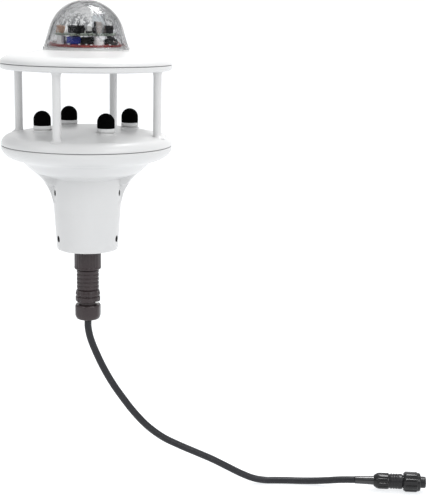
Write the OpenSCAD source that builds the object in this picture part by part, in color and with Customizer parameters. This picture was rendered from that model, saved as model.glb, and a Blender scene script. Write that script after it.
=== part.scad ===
// Compact all-in-one weather station for a pole: a wind gap between two discs,
// an optical rain sensor under a clear dome, and a plug-in data cable.
// +Z is up, the front is -Y, and the origin is at the mouth of the pole socket.

/* [Discs] */
// Radius of both discs
disc_r = 71; // [64:0.5:86]
// Wall of every moulded shell
wall = 3; // [2.2:0.1:4]
// Height of the joint between the lower housing and the sensor deck
deck_seam_z = 89; // [84:0.5:108]
// Clear height between the two disc joints
seam_gap = 67; // [58:0.5:82]
// Thickness of the seam gaskets
gasket_t = 0.6; // [0.4:0.1:1.2]
// Height of the deck edge above its joint
deck_rim_h = 8.4; // [6:0.2:11]
// How far the deck edge rounds inwards
deck_rim_w = 8; // [6:0.5:12]
// Rise of the deck from its edge to its centre
deck_crown = 7.2; // [2:0.1:9]
// Height of the upper disc below its joint
shield_lower_h = 4.4; // [4.2:0.2:9]
// Height of the rounded edge above the joint
shield_rim_h = 7.2; // [5.6:0.2:9]
// How far the upper edge rounds inwards
shield_rim_w = 14; // [9:0.5:18]
// Rise of the upper disc from its edge to the dome seat
shield_crown = 3.6; // [1:0.1:5]

/* [Neck] */
// Outer radius of the neck at the mouth
neck_r = 25.8; // [24.6:0.1:31]
// Outer radius of the neck where the flare starts
neck_top_r = 28; // [26.8:0.1:34]
// Height where the flare starts
neck_h = 33; // [31:0.5:40]
// Radius of the pole that the socket takes
pole_r = 22.2; // [18:0.1:23]
// Radial clearance between the pole and the socket
pole_clear = 0.3; // [0.1:0.05:0.6]
// Depth of the socket up to the stop ledge
socket_depth = 26; // [20:0.5:27]
// Radial width of the stop ledge
stop_w = 2.5; // [1.5:0.1:4]
// Radius of the trumpet curve
flare_r = 43; // [38:0.5:48]
// Angle that the trumpet curve turns through
flare_turn = 58; // [50:1:62]
// Width of the rounded underside of the lower disc
under_w = 16.5; // [12:0.5:20]
// Height of the rounded underside of the lower disc
under_h = 10.5; // [8:0.5:13]
// Radius of the pole screw holes
pole_hole_r = 2.75; // [2:0.05:3.4]
// Height of the pole screw holes
pole_hole_z = 10; // [7:0.5:14]
// Height of the crease where the flat front of the neck meets the flare
crease_z = 62; // [50:0.2:64]
// Half of the angle that the neck's front covers
front_half = 66; // [50:1:68]
// Height of the screw pockets in the flare
pocket_z = 49; // [46:0.5:52]
// Radius of the screw pockets
pocket_r = 8; // [6:0.1:9]
// Distance from the axis to the floor of the screw pockets
pocket_floor = 28.2; // [27.6:0.1:29]
// Turn of the screw pockets from the front
pocket_side = 73; // [68:1:80]

/* [Wind gap] */
// Radius of the support posts
post_r = 3.3; // [2.8:0.1:4.2]
// Radius of the circle through the posts
post_circle_r = 62; // [58:0.5:63]
// Radius of the tie rods in the posts
rod_r = 1.5; // [1.2:0.1:1.8]
// Radius of the transducer caps
cap_r = 7.1; // [6:0.1:8.5]
// Height of a cap with its domed end
cap_h = 12; // [10:0.5:14]
// Radius of the circle through the transducers
sensor_circle_r = 39.4; // [35:0.2:44]
// Height of a transducer holder above its seal
holder_h = 3; // [2:0.1:6]

/* [Rain sensor] */
// Radius of the dome at its base
dome_base_r = 35.7; // [34.6:0.1:38]
// Radius of the round top of the dome
dome_top_r = 31.4; // [30:0.1:31.8]
// Height of the dome's round centre above its base
dome_centre_h = 8.6; // [7.5:0.1:13]
// Thickness of the dome
dome_t = 2; // [1.2:0.1:2.4]
// Angle where the cone meets the round top
dome_cone_deg = 20.3; // [16:0.1:24]
// Radius of the lower sensor board
low_board_r = 31; // [27:0.1:31.2]
// Radius of the upper sensor board
up_board_r = 25.3; // [23:0.1:25.6]
// Thickness of every circuit board
board_t = 1.6; // [1:0.1:2]
// Height of the pillars between the two sensor boards
pillar_h = 7.4; // [6:0.1:9]

/* [Station connector] */
// Radius of the coupling ring
ring_r = 11.5; // [11:0.1:13]
// Radius of the threaded barrel of the fixed connector
barrel_r = 8.6; // [7.6:0.1:9]
// Clearance between the coupling ring and what it turns on
ring_clear = 0.3; // [0.2:0.05:0.5]
// How far the coupling ring hangs below the mouth
ring_drop = 17.8; // [12:0.2:22]
// Radius of the ribbed connector body
conn_body_r = 9.5; // [9:0.1:10.6]
// Length of the ribbed connector body
conn_body_l = 18.3; // [14:0.1:24]
// Radius of the clamp flanges and the gland nut
flange_r = 10.6; // [9.8:0.1:12]
// Length of the clamp flanges
flange_l = 10.3; // [8:0.1:13]
// Radius of the short neck above the gland nut
gap_r = 7.9; // [7:0.1:8.8]
// Length of the short neck above the gland nut
gap_l = 2.6; // [1.6:0.1:4]
// Length of the gland nut
gland_l = 13.5; // [11:0.5:17]

/* [Cable and plug] */
// Radius of the cable
cable_r = 3.1; // [2.6:0.1:3.6]
// Radius of the plug's coupling ring
plug_ring_r = 9.2; // [8.6:0.1:10.4]
// Length of the plug's coupling ring
plug_ring_l = 15.6; // [13:0.1:19]
// Radius of the plug's ribbed body
plug_body_r = 6.9; // [6.4:0.1:7.4]
// Length of the plug's ribbed body
plug_body_l = 12.6; // [10:0.1:16]
// Radius of the plug's gland nut
plug_nut_r = 7.3; // [6.6:0.1:8]
// Length of the plug's gland nut
plug_nut_l = 14.4; // [12:0.1:18]
// Radius of the plug's nose
plug_nose_r = 5.2; // [4.6:0.1:5.6]
// How far the nose stands out of the ring
plug_nose_l = 5; // [4:0.1:7]
// Length of the sleeve on the cable
sleeve_l = 17; // [14:0.5:22]
// Radius of the sleeve at the plug
sleeve_r = 4; // [3.7:0.1:5]

/* [Hidden] */
$fn = 96;
eps = 0.01;

// Quarter turns share one start angle; azimuth is measured from the front
// towards the right.
post_turn = -22.5;
sensor_turn = 22.5;
quarter = [0, 90, 180, 270];
pole_hole_turn = [-68, 68, 180];
pocket_turn = [-pocket_side, pocket_side];
hole_clear = 0.25;

// Heights of the two discs
shield_seam_z = deck_seam_z + seam_gap;
housing_top = deck_seam_z - gasket_t / 2;
deck_bottom = deck_seam_z + gasket_t / 2;
deck_edge_z = deck_bottom + deck_rim_h;
under_z = housing_top - 1.5;
base_top = shield_seam_z - gasket_t / 2;
base_bottom = base_top - shield_lower_h;
base_floor = base_bottom + wall;
top_bottom = shield_seam_z + gasket_t / 2;
top_edge_z = top_bottom + shield_rim_h;
seat_z = top_edge_z + shield_crown;

// Pole socket and the wall above it
socket_r = pole_r + pole_clear;
stop_r = socket_r - stop_w;
bulkhead_z = socket_depth + 4;
bulkhead_top = bulkhead_z + wall;
flare_cx = neck_top_r + flare_r;
flare_z = max(neck_h, bulkhead_top);

// Deck pads and what stands on them
crown_r = disc_r - deck_rim_w;
function deck_top(r) = deck_edge_z + deck_crown * (1 - pow(r / crown_r, 2));
pad_z = deck_top(sensor_circle_r) + 0.3;
post_foot_z = deck_edge_z + 1;
seal_t = 0.8;
holder_z = pad_z + seal_t;
cap_z = holder_z + holder_h;
holder_r = cap_r + 0.2;
stem_r = 4.6;
core_r = cap_r - 1.8;
nut_t = 3;
deck_under_z = deck_edge_z - wall;

// Dome and its boards
gasket_z = seat_z + gasket_t;
dome_z = gasket_z;
flange_t = 1.8;
dome_centre_z = dome_z + dome_centre_h;
plinth_r = 28.5;
ledge_z = seat_z - wall;
plinth_top = dome_z + flange_t;
low_board_top = plinth_top + board_t;
up_board_z = low_board_top + pillar_h;
up_board_top = up_board_z + board_t;
pillar_spot = [9.7, -20];
pillar_r = 3.6;

// Station connector, from the socket down to the cable
hole_r = barrel_r + 0.4;
barrel_bottom = 8;
fix_flange_r = 12;
fix_flange_t = 2.5;
ring_top = 18;
ring_bottom = -ring_drop;
grip_z = ring_bottom + 9;
body_bottom = ring_bottom - conn_body_l;
clamp_bottom = body_bottom - flange_l;
nut_top = clamp_bottom - gap_l;
gland_bottom = nut_top - gland_l;
insert_r = 6.6;

// Board carrier in the housing
main_board_r = 42;
main_board_z = deck_under_z - 14;
standoff_circle_r = 52;

// The bench under the cable, the plug lying on it and the cable's route
bench_z = -226;
plug_yaw = -10;
plug_x = 258;
plug_y = -9;
plug_z = bench_z + plug_ring_r;
plug_dir = [cos(plug_yaw), sin(plug_yaw), 0];
plug_start = [plug_x, plug_y, plug_z];
sleeve_start = plug_start - sleeve_l * plug_dir;
cable_route = [
    [0, 0, gland_bottom], [0, 0, -70], [2, 0, -80], [6.5, 1, -92.5], [13, 1, -107],
    [21, 2, -122], [30, 3, -136], [40, 4, -150], [52, 6, -164],
    [66, 7, -175.5], [81, 8, -184], [96, 9, -191.5], [111, 10, -199],
    [125, 11, -207], [138, 12, -214.5], [150, 12.5, -220],
    [162, 13, -222.7], [176, 12, -222.9], [190, 10, -222.9],
    [203, 7, -222.2], [216, 2.6, -220.4], [228.5, -2.2, -218], sleeve_start];

module turned(points) { rotate_extrude() polygon(points); }
// A plain tube between two heights
module tube(r_out, r_in, z0, z1) {
    turned([[r_in, z0], [r_out, z0], [r_out, z1], [r_in, z1]]);
}
module disc(r, z0, z1) { translate([0, 0, z0]) cylinder(r = r, h = z1 - z0); }
// Copies at the four corners of a circle, from an azimuth off the front
module around(circle_r, turn, steps = quarter) {
    for (a = steps) rotate([0, 0, turn + a]) translate([0, -circle_r, 0]) children();
}
// A cylinder that points outwards, level, along an azimuth
module radial(turn, z, r, from, to) {
    rotate([0, 0, turn]) translate([0, -from, z]) rotate([90, 0, 0])
        cylinder(r = r, h = to - from, $fn = 48);
}

// Rain sensor
function dome_arc(r, from) = [for (a = [from : (90 - from) / 14 : 90.01])
    [r * cos(min(a, 90)), dome_centre_z + r * sin(min(a, 90))]];
module dome_lens() {
    inner_r = dome_top_r - dome_t;
    rim_in = dome_base_r - dome_t - 1;
    color([0.85, 0.88, 0.9, 0.35]) turned(concat(
        [[rim_in, dome_z], [dome_base_r, dome_z], [dome_base_r, dome_z + flange_t]],
        dome_arc(dome_top_r, dome_cone_deg),
        [for (i = [14 : -1 : 0]) dome_arc(inner_r, dome_cone_deg)[i]],
        [[rim_in, dome_z + flange_t]]));
}
module dome_gasket() {
    color("dimgray") tube(dome_base_r - 0.4, dome_base_r - dome_t - 1, seat_z, gasket_z);
}
module optics_base() {
    color("gainsboro") {
        disc(plinth_r - hole_clear, ledge_z, plinth_top - 1);
        disc(low_board_r - 0.5, seat_z + gasket_t + 0.2, plinth_top);
    }
}
module lower_sensor_board() {
    color("firebrick") disc(low_board_r, plinth_top, low_board_top);
}
module pillar_spots() {
    for (a = quarter) rotate([0, 0, a]) translate([pillar_spot[0], pillar_spot[1], 0]) children();
}
module board_pillars() {
    color("silver") pillar_spots() difference() {
        disc(pillar_r, low_board_top, up_board_z);
        disc(1.25, low_board_top - eps, up_board_z + eps);
    }
}
module box_at(x0, x1, y0, y1, z0, z1) {
    translate([x0, y0, z0]) cube([x1 - x0, y1 - y0, z1 - z0]);
}
module driver_modules() {
    tall = pillar_h - 0.8;
    color("steelblue") box_at(-16, -4.4, -21, -11, low_board_top, low_board_top + tall);
    color("dimgray") box_at(-3.8, 3.4, -19, -9, low_board_top, low_board_top + tall - 0.8);
    color("dimgray") box_at(-5, 8, 7, 17, low_board_top, low_board_top + tall - 2);
}
module cable_header() {
    color("black") box_at(13.6, 21.4, -17.5, -12.6, low_board_top, low_board_top + pillar_h - 1);
}
module upper_sensor_board() {
    color("seagreen") difference() {
        disc(up_board_r, up_board_z, up_board_top);
        pillar_spots() disc(1.4, up_board_z - eps, up_board_top + eps);
    }
}
module light_baffles() {
    color("black") {
        box_at(-15, -1.4, -13, -3, up_board_top, up_board_top + 6.8);
        box_at(15.4, 21.6, -10.5, -2.4, up_board_top, up_board_top + 6.8);
        box_at(-12, 10, 6, 15, up_board_top, up_board_top + 5);
    }
}
// Each holder is a seat for one lens: [x, y, radius, height]
holders = [[9.8, -5, 5.1, 10.6], [-20.6, 0, 3.3, 7.6], [14, 6, 4, 8]];
module emitter_holders() {
    color("peru") for (h = holders) translate([h[0], h[1], 0]) difference() {
        disc(h[2], up_board_top, up_board_top + h[3]);
        disc(h[2] - 1, up_board_top + h[3] - 2.5, up_board_top + h[3] + 1);
    }
}
module emitter_lenses() {
    color("lightcyan") for (h = holders) translate([h[0], h[1], up_board_top + h[3] - 2.5])
        rotate_extrude() intersection() {
            translate([0, 2.5 - 0.4]) circle(r = h[2] - 1.2);
            square([h[2], 2 * h[2]]);
        }
}
module shield_can() {
    color("silver") box_at(-0.8, 4.2, -13, -6, up_board_top, up_board_top + 6);
}

// Upper disc
module shield_top() {
    under = [for (a = [0 : 10 : 90]) [disc_r - shield_rim_w + shield_rim_w * cos(a),
        top_bottom + shield_rim_h * sin(a)]];
    inside = [for (a = [90 : -10 : 0])
        [disc_r - shield_rim_w + (shield_rim_w - wall) * cos(a),
        top_bottom + (shield_rim_h - wall) * sin(a)]];
    difference() {
        color("whitesmoke") {
            turned(concat(under, [[dome_base_r, seat_z], [plinth_r, seat_z],
                [plinth_r, ledge_z], [plinth_r - 3, ledge_z],
                [plinth_r - 3, ledge_z - 2], [plinth_r + 3, ledge_z - 2],
                [dome_base_r, ledge_z]], inside));
            around(shield_screw_r, 0) disc(3.4, base_floor + 0.2, top_edge_z - 1);
        }
        around(shield_screw_r, 0) disc(1.25, base_floor, top_edge_z - 3.5);
    }
}
shield_screw_r = 50;
module shield_screws() {
    color("silver") around(shield_screw_r, 0) {
        disc(2.7, base_bottom + 0.4, base_bottom + 1.9);
        disc(1.2, base_bottom + 1.9 - eps, top_edge_z - 4);
    }
}
module upper_seam_gasket() {
    color("gray") tube(disc_r - 0.7, disc_r - wall - 0.2, base_top, top_bottom);
}
module shield_base() {
    edge = 3;
    color("whitesmoke") difference() {
        turned(concat([[0, base_bottom]],
            [for (a = [0 : 15 : 90]) [disc_r - edge + edge * sin(a),
                base_bottom + edge - edge * cos(a)]],
            [[disc_r, base_top], [disc_r - wall, base_top],
            [disc_r - wall, base_floor], [0, base_floor]]));
        around(post_circle_r, post_turn) disc(rod_r + hole_clear, base_bottom - 1, base_floor + 1);
        around(shield_screw_r, 0) {
            disc(1.2 + hole_clear, base_bottom - 1, base_floor + 1);
            disc(2.7 + hole_clear, base_bottom - 1, base_bottom + 1.9);
        }
    }
}

// Wind gap
module support_posts() {
    flare = 1.1;
    color("whitesmoke") around(post_circle_r, post_turn) turned([
        [rod_r + hole_clear, post_foot_z], [post_r + 0.4, post_foot_z],
        [post_r, post_foot_z + 1.2], [post_r, base_bottom - 2.4],
        [post_r + 0.35, base_bottom - 1], [post_r + flare, base_bottom],
        [rod_r + hole_clear, base_bottom]]);
}
module tie_rods() {
    color("silver") around(post_circle_r, post_turn) {
        disc(rod_r, deck_under_z - 4, base_floor);
        disc(2.8, base_floor, base_floor + 1.8);
    }
}
module rod_nuts() {
    color("silver") around(post_circle_r, post_turn) difference() {
        translate([0, 0, rod_pad_z - 2.4]) cylinder(r = 2.9, h = 2.4, $fn = 6);
        disc(rod_r + 0.05, rod_pad_z - 3, rod_pad_z + 1);
    }
}
rod_pad_z = deck_under_z - 0.8;
module transducer_caps() {
    shell = 1.6;
    mid = cap_z + cap_h - cap_r;
    color([0.07, 0.07, 0.08]) around(sensor_circle_r, sensor_turn) turned(concat(
        [[cap_r - shell, cap_z], [cap_r, cap_z]],
        [for (a = [0 : 9 : 90]) [cap_r * cos(a), mid + cap_r * sin(a)]],
        [for (a = [90 : -9 : 0]) [(cap_r - shell) * cos(a), mid + (cap_r - shell) * sin(a)]]));
}
module transducer_cores() {
    color("tan") around(sensor_circle_r, sensor_turn) disc(core_r, cap_z, cap_z + cap_h - cap_r);
}
module transducer_holders() {
    color("whitesmoke") around(sensor_circle_r, sensor_turn) {
        disc(holder_r, holder_z, cap_z);
        disc(stem_r, deck_under_z - 6, holder_z + eps);
    }
}
module transducer_seals() {
    color("dimgray") around(sensor_circle_r, sensor_turn) tube(holder_r - 0.5, stem_r + 0.2, pad_z, holder_z);
}
module transducer_nuts() {
    color("silver") around(sensor_circle_r, sensor_turn) difference() {
        translate([0, 0, sensor_pad_z - nut_t]) cylinder(r = 7.4, h = nut_t, $fn = 6);
        disc(stem_r + 0.05, sensor_pad_z - nut_t - 1, sensor_pad_z + 1);
    }
}
sensor_pad_z = deck_under_z - 0.4;
module sensor_deck() {
    lip_out = disc_r - wall - 0.3;
    lip_bottom = under_z - 0.5;
    outside = [for (a = [0 : 10 : 90]) [disc_r - deck_rim_w + deck_rim_w * cos(a),
        deck_bottom + deck_rim_h * sin(a)]];
    inside = [for (a = [90 : -10 : 0])
        [disc_r - deck_rim_w + (deck_rim_w - wall - 2.2) * cos(a),
        deck_bottom + (deck_rim_h - wall) * sin(a)]];
    crown = [for (i = [7 : -1 : 0]) [crown_r * i / 8, deck_top(crown_r * i / 8)]];
    difference() {
        color("whitesmoke") {
            turned(concat(outside, crown, [for (p = reversed(crown)) p - [0, wall]], inside,
                [[lip_out - 2.2, lip_bottom], [lip_out, lip_bottom],
                [lip_out, deck_bottom]]));
            around(sensor_circle_r, sensor_turn) disc(holder_r + 0.5, sensor_pad_z, pad_z);
            around(post_circle_r, post_turn) disc(post_r + 0.7, rod_pad_z, post_foot_z);
            around(standoff_circle_r, 0)
                disc(3.2, deck_under_z - 5, deck_top(standoff_circle_r) - wall / 2);
        }
        around(sensor_circle_r, sensor_turn) {
            disc(stem_r + 0.2, deck_under_z - 3, pad_z + 1);
            disc(holder_r + 0.5, pad_z, pad_z + 4);
        }
        around(post_circle_r, post_turn) disc(rod_r + hole_clear, rod_pad_z - 1, post_foot_z + 1);
        around(standoff_circle_r, 0) disc(1.25, deck_under_z - 6, deck_under_z);
    }
}
module lower_seam_gasket() {
    color("gray") tube(disc_r - 0.7, disc_r - wall - 0.2, housing_top, deck_bottom);
}

// Lower housing
function flare_points(r) = [for (i = [1 : 10])
    [flare_cx - r * cos(i * flare_turn / 10), flare_z + r * sin(i * flare_turn / 10)]];
function under_points(inset) = [for (a = [0 : 9 : 90])
    [disc_r - under_w + (under_w - inset) * sin(a), under_z - (under_h - inset) * cos(a)]];
function reversed(list) = [for (i = [len(list) - 1 : -1 : 0]) list[i]];
module lower_housing() {
    inner_neck_r = neck_top_r - wall;
    draft = (neck_top_r - neck_r) / flare_z;
    front_r = neck_top_r + 0.2;
    inner_flare = [for (p = flare_points(flare_r + wall)) if (p[1] > crease_z + 2 * wall) p];
    rise = [for (p = flare_points(flare_r)) if (p[1] > crease_z + wall) p][0];
    difference() {
        color("whitesmoke") {
            turned(concat([[neck_r, 0], [neck_top_r, flare_z]], flare_points(flare_r),
                under_points(0), [[disc_r, housing_top], [disc_r - wall, housing_top]],
                reversed(under_points(wall)), reversed(inner_flare),
                [[inner_neck_r, crease_z + wall], [inner_neck_r, bulkhead_top], [hole_r, bulkhead_top],
                [hole_r, bulkhead_z], [stop_r, bulkhead_z], [stop_r, socket_depth],
                [socket_r, socket_depth], [socket_r, 0]]));
            for (t = pocket_turn) radial(t, pocket_z, boss_r, boss_in_r, neck_top_r - 0.6);
        }
        rotate([0, 0, -90 - front_half]) rotate_extrude(angle = 2 * front_half) polygon([
            [front_r, flare_z + 0.5], [front_r + draft * (crease_z - flare_z), crease_z],
            rise + [0, 0.3], rise + [3, 2], rise + [6, 2], [rise[0] + 6, flare_z + 0.5]]);
        for (t = pole_hole_turn) radial(t, pole_hole_z, pole_hole_r, socket_r - 3, neck_top_r + 3);
        for (t = pocket_turn) {
            radial(t, pocket_z, pocket_r, pocket_floor, flare_cx);
            radial(t, pocket_z, screw_head_r + 0.2, pocket_floor - screw_head_h, pocket_floor + 1);
            radial(t, pocket_z, screw_r + 0.2, boss_in_r - 1, pocket_floor);
        }
    }
}
boss_in_r = 21;
boss_r = 5.5;
screw_r = 1.4;
screw_head_r = 2.5;
screw_head_h = 1.8;
module housing_screws() {
    head_r = pocket_floor - screw_head_h;
    color("silver") for (t = pocket_turn) {
        radial(t, pocket_z, screw_r, boss_in_r - 2, head_r);
        radial(t, pocket_z, screw_head_r, head_r, pocket_floor - 0.4);
    }
}
module main_board() {
    color("seagreen") difference() {
        disc(main_board_r, main_board_z, main_board_z + board_t);
        around(main_board_r - 5, 0) disc(1.4, main_board_z - 1, main_board_z + board_t + 1);
    }
}
// Arms from the deck's bosses down to the board
module board_standoffs() {
    foot = main_board_z + board_t;
    reach = standoff_circle_r - main_board_r + 5;
    color("silver") around(main_board_r - 5, 0) difference() {
        union() {
            disc(3, foot, foot + 3);
            translate([-3, -reach, foot]) cube([6, reach, 3]);
            translate([0, -reach, 0]) disc(3, foot, deck_under_z - 5);
        }
        disc(1.2, foot - 1, foot + 2);
        translate([0, -reach, 0]) disc(1.2, deck_under_z - 7, deck_under_z - 4);
    }
}
module board_screws() {
    color("silver") around(main_board_r - 5, 0) {
        disc(2.5, main_board_z - 1.6, main_board_z);
        disc(1.15, main_board_z, main_board_z + board_t + 1.8);
    }
}
module compass_module() {
    color("black") translate([6, 8, main_board_z + board_t]) cube([14, 14, 2.4]);
    color("black") translate([-24, -10, main_board_z + board_t]) cube([12, 18, 2]);
}
module wire_loom() { color("dimgray") disc(2.6, bulkhead_top + 8, main_board_z); }

// Station connector
module fixed_connector() {
    color("dimgray") difference() {
        union() {
            disc(barrel_r, barrel_bottom, bulkhead_top + 5);
            disc(fix_flange_r, bulkhead_z - fix_flange_t, bulkhead_z - seal_t);
            disc(5.5, bulkhead_top + 5, bulkhead_top + 8);
        }
        disc(insert_r + 0.3, barrel_bottom - 1, bulkhead_z);
    }
}
pin_circle_r = 3.4;
module pins(r, z0, z1) { around(pin_circle_r, 0, [0 : 60 : 300]) disc(r, z0, z1); }
module fixed_contacts() { color("gold") pins(0.5, barrel_bottom + 6, bulkhead_z); }
module connector_nut() {
    color("dimgray") difference() {
        translate([0, 0, bulkhead_top]) cylinder(r = 12, h = 3.4, $fn = 6);
        disc(barrel_r + 0.05, bulkhead_top - 1, bulkhead_top + 5);
    }
}
module connector_seal() {
    color("black") tube(fix_flange_r - 0.5, hole_r + 0.1, bulkhead_z - seal_t, bulkhead_z);
}
module coupling_ring() {
    color([0.2, 0.19, 0.18]) difference() {
        turned([[gap_r + ring_clear, ring_bottom], [ring_r - 0.8, ring_bottom],
            [ring_r, ring_bottom + 0.8], [ring_r, ring_top - 0.6], [ring_r - 0.6, ring_top],
            [barrel_r + ring_clear, ring_top], [barrel_r + ring_clear, grip_z],
            [gap_r + ring_clear, grip_z]]);
        for (a = [0 : 15 : 345]) rotate([0, 0, a]) translate([ring_r + 0.7, 0, 0])
            cylinder(r = 1.2, h = 80, center = true, $fn = 16);
    }
}
// The collar on the insert traps the coupling ring
module connector_insert() {
    color("black") difference() {
        union() {
            disc(gap_r, ring_bottom - ring_clear, grip_z + ring_clear);
            disc(barrel_r - 0.2, grip_z + ring_clear, grip_z + 3);
            disc(insert_r, grip_z + 3 - eps, bulkhead_z - 6);
        }
        pins(0.65, barrel_bottom + 3, bulkhead_z);
    }
}
module ribbed(r, z0, z1, pitch, depth) {
    steps = floor((z1 - z0) / pitch);
    turned(concat([[0, z0]], [for (i = [0 : steps - 1]) each [
        [r - depth, z0 + i * pitch], [r, z0 + (i + 0.25) * pitch],
        [r, z0 + (i + 0.7) * pitch], [r - depth, z0 + (i + 0.95) * pitch]]],
        [[r - depth, z1], [0, z1]]));
}
module connector_body() {
    color([0.22, 0.2, 0.19]) ribbed(conn_body_r, body_bottom, ring_bottom - ring_clear, 2.9, 0.7);
}
module clamp_flanges() {
    half = flange_l / 2;
    color([0.24, 0.22, 0.2]) {
        disc(flange_r, body_bottom - half + 0.5, body_bottom);
        disc(flange_r - 1.2, body_bottom - half - 0.5, body_bottom - half + 0.5);
        difference() {
            disc(flange_r, clamp_bottom, body_bottom - half - 0.5);
            around(flange_r - 0.4, 45, [0, 180]) disc(1.8, clamp_bottom - 1, clamp_bottom + 1.4);
        }
        disc(gap_r, nut_top, clamp_bottom);
    }
}
module flange_screws() {
    color("silver") around(flange_r - 0.4, 45, [0, 180]) disc(1.5, clamp_bottom, clamp_bottom + 1.4);
}
module gland_seal() {
    color("black") turned([[0, gland_bottom], [cable_r + 0.5, gland_bottom],
        [cable_r + 0.5, nut_top - 4], [gap_r - 2, nut_top], [0, nut_top]]);
}
module gland_nut() {
    seal_r = cable_r + 0.5;
    round = 3.4;
    hex_r = flange_r / cos(30) + 0.3;
    color([0.2, 0.19, 0.18]) intersection() {
        turned(concat([[seal_r, gland_bottom]],
            [for (a = [0 : 15 : 90]) [flange_r + 0.6 - round + round * sin(a),
                gland_bottom + round - round * cos(a)]],
            [[flange_r + 0.6, nut_top - 1], [flange_r - 0.6, nut_top], [gap_r - 2, nut_top],
            [seal_r, nut_top - 4]]));
        rotate([0, 0, 18]) translate([0, 0, gland_bottom - 1]) cylinder(r = hex_r, h = gland_l + 2, $fn = 6);
    }
}

// Cable: one tube through the points of its route
function unit(v) = v / norm(v);
function heading(points, i) = unit(i == 0 ? [0, 0, -1]
    : i == len(points) - 1 ? plug_dir : points[i + 1] - points[i - 1]);
sides = 10;
module cable() {
    rings = len(cable_route);
    points = [for (i = [0 : rings - 1])
        let (t = heading(cable_route, i), u = unit(cross([0.1, 1, 0.05], t)), v = cross(t, u))
        for (k = [0 : sides - 1]) cable_route[i]
            + cable_r * (cos(k * 360 / sides) * u + sin(k * 360 / sides) * v)];
    walls = [for (i = [0 : rings - 2]) for (k = [0 : sides - 1])
        let (a = i * sides + k, b = i * sides + (k + 1) % sides)
        each [[a, b, a + sides], [b, b + sides, a + sides]]];
    ends = [[for (k = [sides - 1 : -1 : 0]) k],
        [for (k = [0 : sides - 1]) (rings - 1) * sides + k]];
    color([0.25, 0.25, 0.26]) polyhedron(points, concat(walls, ends));
}

// Plug, drawn along its own axis from the sleeve to the nose
module on_plug() { translate(plug_start) rotate([0, 0, plug_yaw]) rotate([0, 90, 0]) children(); }
plug_ring_0 = plug_nut_l + plug_body_l - 0.5;
plug_ring_1 = plug_ring_0 + plug_ring_l;
plug_end = plug_ring_1 + plug_nose_l;
plug_groove_r = plug_body_r - 1;
module plug_sleeve() {
    color([0.1, 0.1, 0.1]) on_plug() translate([0, 0, -sleeve_l])
        cylinder(r1 = cable_r + 0.4, r2 = sleeve_r, h = sleeve_l);
}
module plug_nut() {
    color([0.1, 0.1, 0.1]) on_plug() difference() {
        turned([[0, 0], [sleeve_r + 0.6, 0], [plug_nut_r, 3.4], [plug_nut_r, plug_nut_l], [0, plug_nut_l]]);
        for (a = [0 : 30 : 330]) rotate([0, 0, a]) translate([plug_nut_r + 1, 0, 4.5])
            cylinder(r = 1.5, h = plug_nut_l, $fn = 16);
    }
}
module plug_body() {
    color([0.12, 0.12, 0.12]) on_plug() {
        ribbed(plug_body_r, plug_nut_l, plug_nut_l + plug_body_l - 1, 2.3, 0.5);
        disc(plug_groove_r - ring_clear, plug_nut_l + plug_body_l - 1, plug_ring_0 + 4);
        disc(plug_body_r - 0.2, plug_ring_0 + 4 - eps, plug_ring_0 + 6);
    }
}
module plug_ring() {
    bore = plug_body_r + ring_clear;
    color([0.08, 0.08, 0.08]) on_plug() difference() {
        turned([[plug_groove_r, plug_ring_0 + 0.3], [plug_ring_r - 1, plug_ring_0 + 0.3],
            [plug_ring_r, plug_ring_0 + 1.3], [plug_ring_r, plug_ring_1 - 1],
            [plug_ring_r - 1, plug_ring_1], [bore, plug_ring_1], [bore, plug_ring_0 + 3.7],
            [plug_groove_r, plug_ring_0 + 3.7]]);
        for (a = [10 : 20 : 350]) rotate([0, 0, a]) translate([plug_ring_r + 0.8, 0, plug_ring_0])
            cylinder(r = 1.3, h = plug_ring_l - 3, $fn = 16);
    }
}
module plug_insert() {
    color([0.1, 0.1, 0.1]) on_plug() difference() {
        union() {
            disc(plug_nose_r - 0.4, plug_ring_0 + 6, plug_ring_1 + eps);
            disc(plug_nose_r, plug_ring_1, plug_end);
        }
        for (a = [0 : 60 : 300]) rotate([0, 0, a]) translate([2.6, 0, 0])
            disc(0.65, plug_end - 6, plug_end + 1);
    }
}
module plug_contacts() {
    color("gold") on_plug() for (a = [0 : 60 : 300]) rotate([0, 0, a]) translate([2.6, 0, 0])
        disc(0.6, plug_end - 6, plug_end - 1);
}

dome_lens();
dome_gasket();
optics_base();
lower_sensor_board();
board_pillars();
driver_modules();
cable_header();
upper_sensor_board();
light_baffles();
emitter_holders();
emitter_lenses();
shield_can();
shield_top();
shield_screws();
upper_seam_gasket();
shield_base();
support_posts();
tie_rods();
rod_nuts();
transducer_caps();
transducer_cores();
transducer_holders();
transducer_seals();
transducer_nuts();
sensor_deck();
lower_seam_gasket();
lower_housing();
main_board();
board_standoffs();
board_screws();
compass_module();
wire_loom();
housing_screws();
fixed_connector();
fixed_contacts();
connector_nut();
connector_seal();
coupling_ring();
connector_insert();
connector_body();
clamp_flanges();
flange_screws();
gland_seal();
gland_nut();
cable();
plug_sleeve();
plug_nut();
plug_body();
plug_ring();
plug_insert();
plug_contacts();
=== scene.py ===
from math import cos, exp, hypot, log, pi, radians, sin, sqrt, tau

import bmesh
import bpy
from mathutils import Matrix, Vector


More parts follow.
